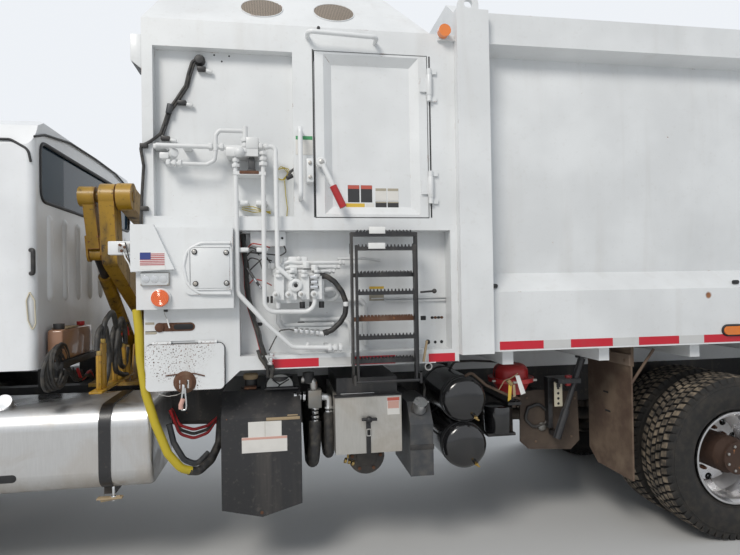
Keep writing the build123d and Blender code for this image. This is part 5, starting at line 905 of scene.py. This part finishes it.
def rounded_box(x, z, r, steps=5):
    """The outline of a rectangle with round corners."""
    out = []
    for cx, cz, start in ((x[1] - r, z[1] - r, 0), (x[0] + r, z[1] - r, 1), (x[0] + r, z[0] + r, 2),
                          (x[1] - r, z[0] + r, 3)):
        out += [(cx + r * cos(pi / 2 * (start + k / steps)),
                 cz + r * sin(pi / 2 * (start + k / steps))) for k in range(steps + 1)]
    return out


def valve_bay():
    """Manifold, pipes, hoses and boxes in the recess below the panel."""
    back = -1102
    p = Piece("bay_pipes", slot="white_body")
    # Manifold: a bank of valve bodies with ports, domes and adjusting screws
    p.box((-1050, -1200, 1745), (-742, back, 1790), "pipe", 8)
    p.box((-960, -1225, 1785), (-850, -1120, 1852), "pipe", 9)
    p.ball((-900, -1226, 1838), 15, "pipe", squash=(1, 0.6, 1))
    for k in range(4):
        x = -1012 + 70 * k
        nuts(p, (x, -1266, 1735), (0, 0, 1), 21, count=2, step=24)
        p.rod((x - 18, -1262, 1640), (x - 18, -1286, 1640), 19, "pipe", sides=16)
        p.bolts([(x - 18, -1286, 1640)], (0, -1, 0), 9, 9, "steel")
    p.lathe((-920, -1266, 1690), [(0, 36), (12, 36), (16, 30), (16, 20), (8, 16)], "pipe", way=-1, sides=28)
    p.ball((-920, -1276, 1690), 12, "sealant_and_shade", squash=(1, 0.4, 1))
    for z, length in ((1816, 360), (1792, 330), (1768, 300)):
        p.tube([(-1010, -1216, z - 16), (-950, -1226, z + (8 if z > 1800 else 0)), (-900, -1226, z),
                (-1010 + length, -1196, z)], 11, "pipe", 30)
        nuts(p, (-1010 + length - 20, -1196, z), (1, 0, 0), 17, count=2, step=22)
    for x, y, z in ((-1000, -1230, 1790), (-930, -1240, 1770), (-860, -1230, 1800), (-812, -1240, 1786),
                    (-980, -1200, 1830), (-1052, -1190, 1800)):
        p.rod((x, y, z - 16), (x, y, z + 16), 22, "pipe", sides=6)
    nuts(p, (-816, -1260, 1742), (0, 0, -1), 27, "chrome", 3, 28)
    nuts(p, (-1046, -1240, 1612), (-1, 0, 0), 20, "plastic", 2, 22)
    for x in (-1018, -884, -830, -776):
        p.rod((x, -1236, 1596), (x, -1236, 1560), 15, "pipe" if x < -1000 else "sealant_and_shade", sides=12)
    p.tube([(-1018, -1236, 1570), (-1018, -1200, 1480), (-990, -1150, 1440), (-700, -1140, 1436)], 13, "pipe", 40)
    p.tube([(-1020, -1150, 1500), (-992, -1150, 1462), (-700, -1150, 1462)], 11, "pipe", 30)
    p.tube([(-894, -1132, 1491), (-650, -1132, 1489), (-604, -1132, 1460), (-594, -1132, 1330)], 13, "pipe", 40)
    p.tube([(-760, -1216, 1660), (-700, -1196, 1668), (-668, -1176, 1640), (-700, -1150, 1604),
            (-770, -1140, 1600)], 14, "pipe", 40)
    p.tube([(-690, -1122, 1598), (-535, -1122, 1597), (-509, -1122, 1565), (-512, -1122, 1330)], 14, "pipe", 30)
    p.tube([(-674, -1150, 1839), (-512, -1140, 1841), (-416, -1128, 1827)], 8, "pipe", 60)
    # Lower pressure line with its fittings
    nuts(p, (-744, -1256, 1336), (1, 0, 0), 25, "pipe", 3, 30)
    p.rod((-862, -1256, 1336), (-855, -1256, 1368), 9, "pipe")
    nuts(p, (-930, -1230, 1436), (1, -0.05, -0.12), 20, "bright", 5, 30)
    p.rod((-800, -1236, 1420), (-752, -1238, 1412), 12, "pipe")
    nuts(p, (-1056, -1262, 1317), (-0.15, 0, -1), 17, "bright", 3, 24)
    # Shelf, label and clips at the back of the recess
    p.box((-386, -1116, 1580), (-12, back, 1592), "pipe", 2)
    p.box((-470, back - 14, 1600), (-12, back, 1606), "pipe", 1)
    plate(p, (-481, -392), (1590, 1638), back, "plate_dull", out=1.5)
    plate(p, (-480, -391), (1660, 1675), back, "plate_yellow", out=1.5)
    # Slots and small holes here are drawn as flat dark plates and discs: painted shade of the openings
    for x, z in ((-1131, 1468), (-886, 1466)):
        hole(p, (x - 24, x + 22), (z - 10, z + 10), back, "sealant_and_shade")
    p.box((-1170, -1166, 1911), (-969, back, 2000), "white", 7)
    for x in (-1012, -990):
        p.rod((x, -1166, 1960), (x, -1168, 1960), 7, "screen", sides=12)
    p.box((-1215, -1150, 1990), (-1120, back, 2000), "white", 2)
    # Holes and slots on the plain part beside the ladder, drawn as dark discs and plates as painted shade; the rusty
    # slots are rust
    for x, z, r in ((-126, 1333, 15), (-79, 1331, 9), (-39, 1332, 10)):
        p.rod((x, back - 1.5, z), (x, back + 1, z), r, "screen", sides=24)
    p.box((-168, back - 1.5, 1466), (-135, back + 1, 1492), "screen", 2)
    for k in range(4):
        hole(p, (-106 + 20 * k, -86 + 20 * k), (1472, 1488), back, "rust" if k % 2 else "screen")
    p.done()

    w = Piece("bay_hoses")
    arc = [(-772, -1236, 1740), (-745, -1240, 1738), (-702, -1244, 1707), (-660, -1246, 1650),
           (-637, -1246, 1585), (-644, -1246, 1521), (-673, -1244, 1474),
           (-720, -1240, 1432), (-760, -1238, 1418)]
    w.tube(arc, 15, "hose", 60, 14)
    w.rod((-638, -1246, 1592), (-637, -1246, 1566), 16.5, "pipe")
    w.rod((-786, -1234, 1742), (-756, -1238, 1740), 18, "plastic", sides=6)
    w.rod((-768, -1238, 1416), (-742, -1239, 1424), 18, "plastic", sides=6)
    trunk = [(-1216, -1130, 1985), (-1210, -1150, 1900), (-1198, -1160, 1800), (-1196, -1150, 1683),
             (-1178, -1150, 1560), (-1140, -1160, 1430), (-1104, -1210, 1300), (-1086, -1236, 1232)]
    for k, (mat, dx, dy) in enumerate((("hose", 0, 0), ("hose", 14, 8), ("red_wire", -11, 10),
                                       ("hose", 8, -12), ("grey", 18, -4))):
        w.tube([(x + dx * (0.6 + 0.4 * cos(3 * i + k)), y + dy, z) for i, (x, y, z) in enumerate(trunk)],
               9 if k < 2 else 6, mat, 60, 8)
    for i, (x, z, end_x, end_z, mat) in enumerate(((-1196, 1880, -1120, 1862, "hose"),
                                                   (-1196, 1820, -1080, 1700, "hose"),
                                                   (-1190, 1760, -1050, 1830, "hose"),
                                                   (-1180, 1700, -1052, 1690, "red_wire"),
                                                   (-1190, 1860, -1040, 1790, "hose"),
                                                   (-1190, 1900, -1060, 1905, "red_wire"))):
        w.tube([(x, -1150, z), (x + 30, -1180, z + 30), ((x + end_x) / 2 + 20, -1190, max(z, end_z) + 16),
                (end_x, -1180, end_z)], 3.5, mat, 30, 6)
    for k in range(4):
        w.rod((-1188 + 9 * k, -1184, 1790 - 12 * k), (-1150 + 14 * k, -1200, 1730 - 20 * k), 7,
              "bright" if k % 2 else "grey", sides=8)
    w.tube([(-980, -1170, 1915), (-966, -1180, 1880), (-1000, -1180, 1860), (-1100, -1176, 1872),
            (-1180, -1160, 1880)], 4, "hose", 20, 6)
    w.tube([(-1132, -1240, 1335), (-1118, -1246, 1290), (-1080, -1246, 1236), (-1078, -1230, 1180)], 10, "hose", 30)
    w.tube([(-1070, -1246, 1330), (-1040, -1250, 1390), (-1010, -1250, 1440), (-960, -1246, 1446),
            (-930, -1240, 1437)], 3.5, "hose", 20, 6)
    w.tube([(-1062, -1250, 1262), (-1052, -1250, 1230), (-1060, -1240, 1180)], 12, "hose", 20)
    w.done()


def tapes():
    """Red and white reflective bands, and blank plates."""
    t = Piece("tapes")
    for side in (-1, 1):
        def strip(x0, x1, z0, z1, mat):
            y = side * 1220
            t.box((x0, min(y, y + side * 1.2), z0), (x1, max(y, y + side * 1.2), z1), mat, 0)
        for x0, x1, mat in ((-1056, -795, "tape_red"), (-795, -596, "tape_white"), (-594, -353, "tape_red"),
                            (-351, -155, "tape_white"), (-153, 6, "tape_red")):
            strip(x0, x1, 1229, 1277, mat)
        for k in range(9):
            x = 286 + 457 * k
            strip(x, min(x + 279, 4318), 1283, 1333, "tape_red")
            if x + 281 < 4318:
                strip(x + 281, min(x + 455, 4318), 1283, 1333, "tape_white")
        t.box((-110, min(side * 1219, side * 1223), 1222), (28, max(side * 1219, side * 1223), 1228), "sealant_and_shade", 0)
    for k in range(7):
        t.box((4430, -1160 + 335 * k, 462), (4432, -1160 + 335 * k + 200, 512), "tape_red", 0)
        t.box((4430, -958 + 335 * k, 462), (4432, -958 + 335 * k + 130, 512), "tape_white", 0)
    # Slots on the ledge drawn as flat dark plates: painted shade of the openings
    for x in (262, 1912):
        hole(t, (x - 26, x + 26), (1653, 1679), -1199, "sealant_and_shade", 4)
    plate(t, (-1195, -1008), (828, 918), -1150, "plate", band=None)
    t.box((-1102, -1153, 829), (-1100, -1151, 917), "plate_dull", 0)
    plate(t, (-1231, -977), (744, 832), -1150, "plate", out=3.5, band="tag_pink", share=0.16)
    plate(t, (-398, -324), (925, 1027), -1180, "plate", band="plate_red", share=0.2)
    t.box((-394, -1183.4, 962), (-328, -1181, 1004), "tag_pink", 0)
    for side in (-1, 1):
        ends = [(1915 + 29 * sin(t), 1357 - 29 * cos(t)) for t in (0, pi / 4, pi / 2, 3 * pi / 4, pi)]
        t.tube([(x, side * 1222, z) for x, z in ends] + [(3734 - x, side * 1222, z) for x, z in reversed(ends)]
               + [(ends[0][0], side * 1222, ends[0][1])], 10, "sealant_and_shade", 60, 8)
    t.done()


def tanks():
    """Fillers, gauge, straps, latch, taps and hoses of the tanks below the hopper."""
    p = Piece("tank_fittings")
    # Oil tank: tan filler cap, tilted dial cap, plank, pipe fittings and suction hoses
    p.lathe((-1188, -930, 1128), [(0, 40), (6, 44), (26, 44), (30, 38), (30, 10)], "tan", axis=2, sides=20)
    p.lathe((-1188, -930, 1074), [(0, 62), (10, 62), (12, 50)], "black", axis=2, sides=28)
    p.box((-1224, -1010, 1076), (-1152, -960, 1092), "rust", 6)
    lean = Vector((0, -0.72, 0.69))
    dial = Vector((-1015, -984, 1084))
    p.rod(dial - lean * 60, dial + lean * 8, 86, "black", sides=40, bevel=6)
    p.rod(dial + lean * 7, dial + lean * 13, 78, "plate_white", sides=40, bevel=3)
    across = Vector((1, 0, 0))
    steep = lean.cross(across)
    for turn, length in ((0.6, 66), (2.4, 56), (4.1, 60)):
        way = across * cos(turn) + steep * sin(turn)
        p.rod(dial + lean * 14, dial + lean * 14 + way * length, 4, "sealant_and_shade", sides=6, bevel=0)
    p.box((-1104, -1040, 1072), (-906, -940, 1086), "black", 8)
    p.box((-1094, -1156, 921), (-903, -1092, 938), "tan", 3)
    p.box((-975, -1148, 938), (-915, -1090, 948), "tan", 3)
    nuts(p, (-934, -1030, 1028), (1, 0, -0.06), 30, "bright", 3, 27)
    p.box((-851, -1098, 966), (-773, -1012, 1070), "steel_grey", 4)
    nuts(p, (-772, -1050, 1022), (1, 0, 0), 26, "bright", 1, 20)
    p.tube([(-762, -1050, 1022), (-730, -1050, 1018), (-729, -1050, 960)], 22, "bright", 26)
    nuts(p, (-729, -1050, 965), (0, 0, -1), 28, "bright", 2, 24)
    p.tube([(-729, -1050, 930), (-728, -1050, 780), (-728, -1040, 680), (-728, -860, 640), (-728, -560, 760),
            (-728, -440, 900)], 30, "hose", 90, 16)
    nuts(p, (-812, -1056, 966), (0, 0, -1), 28, "bright", 4, 25)
    p.tube([(-810, -1056, 880), (-816, -1056, 740), (-826, -1050, 640), (-830, -860, 600), (-830, -560, 740),
            (-830, -440, 880)], 37, "hose", 100, 16)
    p.tube([(-815, -1050, 1068), (-818, -1050, 1120), (-885, -1040, 1130)], 24, "steel", 30)
    p.rod((-846, -1044, 1110), (-846, -1044, 1170), 34, "chassis")
    p.bolts([(-1124, -1150, 404)], (0, -1, 0), 10, 6, "rust")
    # Battery box: lid edge, T handle on its strap, hoses and the valve below
    p.box((-664, -1134, 1046), (-465, -1131, 1050), "bright", 1)
    p.box((-706, -1186, 1036), (-309, -1120, 1044), "black", 2)
    p.rod((-552, -1204, 911), (-463, -1204, 908), 9, "sealant_and_shade")
    p.ball((-508, -1198, 906), 20, "sealant_and_shade")
    p.rod((-508, -1182, 906), (-508, -1204, 906), 10, "sealant_and_shade")
    p.box((-524, -1186, 706), (-497, -1181, 896), "sealant_and_shade", 2)
    p.tube([(-522, -1192, 850), (-498, -1192, 850), (-498, -1192, 812), (-522, -1192, 812),
            (-522, -1192, 850)], 4, "steel", 6)
    p.bolts([(-507 + 86 * cos(t * pi / 3), -1060, 660 + 86 * sin(t * pi / 3)) for t in range(6)], (0, -1, 0),
            11, 9, "rust")
    p.rod((-507, -1060, 660), (-507, -1072, 660), 60, "chassis")
    nuts(p, (-640, -1060, 640), (1, 0, -0.4), 17, "brass", 3, 22)
    p.tube([(-620, -1060, 650), (-612, -1050, 720)], 6, "brass", 10)
    # Fluid tank cap, strap and bracket
    p.lathe((-184, -1092, 925), [(0, 52), (10, 52), (14, 46)], "plastic", axis=1, way=-1, sides=28)
    p.box((-222, -1100, 966), (-123, -1070, 972), "bright", 2)
    p.box((-258, -1154, 700), (-110, -1149, 730), "plastic", 2)
    p.tube([(-150, -1060, 968), (-130, -1030, 1040), (-120, -900, 1080)], 8, "hose", 30)
    # Air tank bands, taps and lines
    for z in (970, 689):
        p.rod((159, -1126, z - 100), (159, -1150, z - 102), 9, "brass", sides=6)
        p.rod((146, -1140, z - 101), (176, -1146, z - 118), 5, "brass")
        p.lathe((104, -1085, z), [(0, 136), (13, 131), (26, 112), (36, 78), (41, 40), (42, 3)], "gloss",
                way=-1, sides=48)
        for y in (-1040, -620):
            p.lathe((104, y, z), [(-16, 137), (-16, 141), (16, 141), (16, 137)], "black", sides=48, closed=True)
    p.tube([(119, -1060, 1108), (160, -1060, 1130), (263, -1040, 1043), (423, -1000, 966), (520, -960, 930)],
           9, "flap", 60)
    p.tube([(100, -800, 1107), (140, -780, 1160), (300, -700, 1150), (600, -640, 1120)], 8, "hose", 50)
    # Fuel tank: cap, step recess and strap bolt
    p.rod((-2506, -1058, 1058), (-2506, -1066, 1066), 36, "bright", sides=8)
    # Step recess drawn as a flat dark slot: painted shade
    hole(p, (-2600, -2402), (664, 706), -1150, "sealant_and_shade")
    p.box((-2010, -1140, 534), (-1876, -1100, 544), "tan", 4)
    p.rod((-1925, -1118, 600), (-1925, -1118, 520), 8, "bright")
    p.bolts([(-1925, -1118, 548)], (0, 0, -1), 16, 14, "bright")
    p.rod((-1990, -1124, 528), (-1888, -1118, 540), 10, "tan")
    p.done()


def brakes():
    """What hangs about the brake chamber and the flap ahead of the rear wheels."""
    p = Piece("brake_fittings")
    p.lathe((487, -900, 1056), [(-16, 142), (-16, 148), (10, 148), (10, 142)], "red", axis=2, closed=True)
    for turn in (3.6, 4.5, 5.6):
        p.rod((487 + 160 * cos(turn) - 12, -900 + 150 * sin(turn), 1053),
              (487 + 160 * cos(turn) + 12, -900 + 150 * sin(turn), 1053), 9, "steel", sides=6)
    p.prism(1, [(452, 1098), (480, 1098), (520, 984), (488, 974)], -1056, -1053, "plate_white", 2)
    p.prism(1, [(410, 1050), (432, 1046), (424, 948), (402, 936)], -1050, -1047, "plate_yellow", 1)
    p.prism(1, [(436, 1040), (452, 1040), (456, 966), (438, 962)], -1052, -1049, "tan", 1)
    p.tube([(346, -1044, 1010), (380, -1050, 1068), (430, -1052, 1084), (470, -1052, 1110)], 3, "tan", 30, 6)
    p.rod((404, -1046, 1070), (430, -1046, 1040), 14, "brass", sides=8)
    # Black canister on its shelf below the chamber
    p.rod((396, -900, 712), (396, -900, 884), 93, "gloss", sides=40, bevel=8)
    p.box((300, -960, 694), (492, -452, 712), "chassis", 4)
    p.box((330, -452, 640), (462, -432, 940), "chassis", 4)
    p.prism(0, [(-940, 694), (-452, 694), (-452, 640)], 388, 400, "chassis", 2)
    p.box((792, -904, 852), (850, -898, 1018), "cream", 2)
    # Holes and a slot in the cream bracket drawn as dark discs and a plate: painted shade
    for k in range(4):
        p.rod((820, -905, 872 + 34 * k), (820, -903, 872 + 34 * k), 9, "screen", sides=12)
    p.box((808, -905, 980), (836, -903, 1004), "screen", 1)
    p.box((880, -905, 985), (922, -880, 1056), "red", 4)
    p.tube([(640, -812, 830), (720, -820, 860), (800, -816, 790), (770, -816, 720), (680, -814, 700),
            (620, -812, 760), (650, -812, 840)], 11, "chassis", 50)
    p.ball((745, -812, 700), 30, "steel_grey", squash=(1, 0.5, 1))
    for x, z in ((640, 900), (700, 600), (960, 620), (990, 880)):
        p.bolts([(x, -806, z)], (0, -1, 0), 9, 6, "flap")
    for side in (-1, 1):
        p.box((1186, min(side * 645, side * 1140), 1140), (1194, max(side * 645, side * 1140), 1212), "flap_light", 2)
        p.bolts([(1186, side * y, 1172) for y in (690, 890, 1090)], (-1, 0, 0), 11, 6, "flap")
        p.rod((1197, side * 1134, 1024), (1364, side * 1134, 1244), 9, "flap")
        for y, z in ((860, 925), (880, 800)):
            p.box((1190, side * y - 28, z - 5), (1195, side * y + 28, z + 5), "sealant_and_shade", 1)
    p.done()


def ladders():
    """Teeth, grip patches and fittings of the boarding ladder."""
    fixed = Piece("ladder_grips", slot="tank_black")
    fold = Piece("fold_grips", "ladder_fold", "tank_black")
    rusty_tread = 1503
    for piece, treads, y, rows in ((fixed, (1982, 1751, rusty_tread, 1267), -1300, ((0, 13), (48, 11))),
                                   (fold, (1897, 1649, 1402), -1345, ((0, 13),))):
        for z in treads:
            for k in range(16):
                x = -580 + 20.3 * k
                for behind, height in rows:
                    tooth = [(x, z - 1), (x + 12, z - 1), (x + 8, z + height), (x + 3, z + height)]
                    piece.prism(1, tooth, y + behind, y + behind + 5, "rust" if z == rusty_tread else "black", 0)
    fixed.box((-508, -1304, 1973), (-416, -1292, 2012), "plate_white", 1)
    fold.box((-521, -1349, 1885), (-426, -1337, 1918), "plate_white", 1)
    fixed.done()
    fold.done()
    side = Piece("ladder_fittings", slot="white_body")
    side.tube([(-216, -1296, 1639), (-137, -1296, 1644)], 6, "black", 8)
    side.ball((-134, -1296, 1644), 14, "plastic")
    side.tube([(-178, -1280, 1361), (-201, -1280, 1241)], 7, "tan", 8)
    side.lathe((-151, -1200, 1200), [(-4, 16), (-4, 24), (4, 24), (4, 16)], "steel", closed=True, sides=20)
    side.done()


def arm_fittings():
    """Hoses, valves and wiring about the arm's base, and what stands behind the cab."""
    p = Piece("arm_hoses", slot="tank_black")
    p.box((-2030, -1179, 1119), (-1962, -488, 1132), "yellow", 3)
    for y, z in ((-1040, 1380), (-1114, 1320), (-630, 1312), (-535, 1290), (-820, 1220)):
        p.rod((-1994, y, 1130), (-1994, y, z), 17, "yellow", sides=8)
        p.rod((-1994, y, z), (-1994, y, z + 26), 14, "brass", sides=6)
    for x, run in ((-1994, [(-1040, 1404), (-1010, 1500), (-850, 1560), (-760, 1420), (-700, 1206),
                            (-600, 1180), (-535, 1300)]),
                   (-2006, [(-1114, 1344), (-1090, 1450), (-960, 1490), (-880, 1300), (-920, 1190), (-1000, 1130)]),
                   (-1982, [(-630, 1336), (-640, 1440), (-720, 1520), (-800, 1400), (-880, 1200),
                            (-700, 1150), (-600, 1135)]),
                   (-2010, [(-820, 1244), (-810, 1400), (-740, 1470), (-660, 1380), (-600, 1250), (-500, 1200)])):
        p.tube([(x, y, z) for y, z in run], 15, "hose", 70)
    for mat, x, z in (("hose", -2010, 1462), ("grip_red", -2014, 1430)):
        p.tube([(x, -760, z), (x - 6, -600, z - 50), (x, -440, z + 7), (x, -420, z - 60)], 4, mat, 40, 6)
    # Reservoir box and cable coils behind the cab
    p.box((-2345, -944, 1231), (-2239, -370, 1270), "chassis", 4)
    p.box((-2335, -918, 1270), (-2249, -409, 1453), "tan_box", 14, segments=3)
    p.box((-2331, -860, 1453), (-2253, -640, 1462), "tan", 3)
    p.rod((-2290, -860, 1453), (-2290, -860, 1486), 30, "plastic")
    p.rod((-2290, -500, 1453), (-2290, -500, 1478), 24, "grip_red")
    for k in range(6):
        loop = [(-2270 + 5 * k + 8 * sin(t * pi / 6 + k), -1040 + 16 * k + (110 + 7 * k) * cos(t * pi / 6),
                 1225 + 6 * k + (100 + 5 * k) * sin(t * pi / 6))
                for t in range(12 + k % 2)]
        p.tube(loop, 8 if k % 2 else 11, "hose", 60, 8)
    for k in range(5):
        p.tube([(-2250 + 4 * k, -900 + 60 * k, 1240 - 14 * k), (-2240, -760 + 40 * k, 1130 - 6 * k),
                (-2236, -560 + 20 * k, 1130 + 10 * k), (-2236, -440, 1100)],
               9 if k % 2 else 6, "grip_red" if k == 3 else "hose", 60, 8)
    p.done()


def cab_trim():
    """Handles, rubbers, rails, wipers and mirror glass of the cab, and bezels of its lamps."""
    p = Piece("cab_fittings", slot="mirror_black")
    p.tube([(-2372, -1028, 1778), (-2352, -1046, 1778), (-2352, -1046, 1908), (-2372, -1028, 1908)], 12,
           "plastic", 16)
    p.tube([(-2379, -1028, 1674), (-2392, -1038, 1629), (-2384, -1038, 1520), (-2362, -1036, 1460),
            (-2348, -1030, 1500), (-2353, -1030, 1628), (-2379, -1028, 1674)], 4, "cream", 30)
    p.tube([(-2351, y, z) for y, z in ((0, 2195), (952, 2195), (952, 2535), (-952, 2535), (-952, 2195),
                                       (0, 2195))], 11, "sealant_and_shade", 74, 8)
    for side in (-1, 1):
        p.tube([(-2350, side * 1020, 2545), (-2340, side * 900, 2585), (-2340, side * 500, 2638),
                (-2340, 0, 2646)], 7, "sealant_and_shade", 60)
        p.tube([(-3770, side * 1030, 2000), (-3540, side * 1030, 2524), (-2470, side * 1030, 2524),
                (-2380, side * 1030, 2470), (-2366, side * 1030, 2400)], 7, "sealant_and_shade", 60)
        p.box((-3770, side * 1345 - 62, 2068), (-3766, side * 1345 + 62, 2432), "chrome", 1)
        root = Vector((-3806, side * 120 + 260, 2008))
        up_glass, out = Vector((0.453, 0, 0.892)), Vector((-0.892, 0, 0.453))
        tip = root + up_glass * 330 + Vector((0, -230, 0)) + out * 14
        p.rod(root - out * 20, root + out * 26, 14, "plastic")
        p.tube([root + out * 20, tip], 6, "plastic", 5)
        p.tube([tip - up_glass * 260 + Vector((0, 60, 0)), tip + up_glass * 190 - Vector((0, 40, 0))], 5,
               "sealant_and_shade", 5)
    p.done()
    bezels = Piece("headlamp_bezels", "hood", "lamp_clear")
    out = Vector((-0.982, 0, -0.187))
    for side in (-1, 1):
        for y, size in ((880, 74), (1040, 74)):
            at = Vector((-4992, side * y, 895))
            bezels.rod(at - out * 3, at + out * 3, size, "plastic", sides=40)
            bezels.rod(at + out * 2, at + out * 5, size - 8, "bright", sides=40)
            bezels.ball(at + out * 2, size - 16, "clear", 24, (0.22, 1, 1))
    bezels.done()
    rings = Piece("tail_lamp_rings", "tailgate", "tank_black")
    along, out = Vector((0.456, 0, 0.890)), Vector((0.890, 0, -0.456))
    for side in (-1, 1):
        for up_slope in (190, 310, 430):
            at = Vector((4880, side * 1040, 1273)) + along * up_slope
            rings.rod(at + out * 0.3, at + out * 9, 56, "sealant_and_shade", sides=32)
    rings.done()
    for side, word in ((-1, "left"), (1, "right")):
        pocket = Piece(f"handle_recess_{word}", f"door_{word}", "mirror_black")
        pocket.box((-2782, side * 1030.5 - 1.5, 1862), (-2618, side * 1030.5 + 1.5, 1932), "sealant_and_shade", 1)
        pocket.done()


for region in (hopper_side, pod, valve_bay, tapes, tanks, brakes, ladders, arm_fittings, cab_trim):
    region()

# Stage
floor_mesh = bpy.data.meshes.new("floor")
floor_mesh.from_pydata([(-40, -40, 0), (40, -40, 0), (40, 40, 0), (-40, 40, 0)], [], [(0, 1, 2, 3)])
floor = bpy.data.objects.new("floor", floor_mesh)
scene.collection.objects.link(floor)
ground = Nodes("floor_paint")
floor_mesh.materials.append(ground.finish((0.62, 0.62, 0.61), 0.8))

# Camera, glass and mirrors see a pale backdrop; all other rays get a softer blue-white light
world = bpy.data.worlds.new("studio")
scene.world = world
world.use_nodes = True
tree = world.node_tree
tree.nodes.clear()
path = tree.nodes.new("ShaderNodeLightPath")
soft, seen = tree.nodes.new("ShaderNodeBackground"), tree.nodes.new("ShaderNodeBackground")
soft.inputs["Color"].default_value, soft.inputs["Strength"].default_value = (0.86, 0.92, 1.0, 1), 0.55
seen.inputs["Color"].default_value, seen.inputs["Strength"].default_value = (0.86, 0.89, 0.93, 1), 1.0
pick, out = tree.nodes.new("ShaderNodeMixShader"), tree.nodes.new("ShaderNodeOutputWorld")
either = tree.nodes.new("ShaderNodeMath")
either.operation = "MAXIMUM"
glossy = tree.nodes.new("ShaderNodeMath")
glossy.operation = "MAXIMUM"
for source, target in ((path.outputs["Is Camera Ray"], either.inputs[0]),
                       (path.outputs["Is Transmission Ray"], either.inputs[1]),
                       (either.outputs[0], glossy.inputs[0]), (path.outputs["Is Glossy Ray"], glossy.inputs[1]),
                       (glossy.outputs[0], pick.inputs[0]), (soft.outputs[0], pick.inputs[1]),
                       (seen.outputs[0], pick.inputs[2]), (pick.outputs[0], out.inputs[0])):
    tree.links.new(source, target)


def lamp(name, place, target, size, power, colour):
    """A soft square lamp that looks at a point; places in metres."""
    data = bpy.data.lights.new(name, "AREA")
    data.size, data.energy, data.color = size, power, colour
    made = bpy.data.objects.new(name, data)
    made.location = place
    made.rotation_euler = (Vector(target) - Vector(place)).to_track_quat("-Z", "Y").to_euler()
    scene.collection.objects.link(made)


lamp("key", (-7, -11, 12), (0, 0, 1.5), 5, 1450, (1.0, 0.96, 0.90))
lamp("fill", (10, 9, 9), (0, 0, 1.5), 8, 660, (0.92, 0.96, 1.0))

scene.view_settings.view_transform = "Standard"
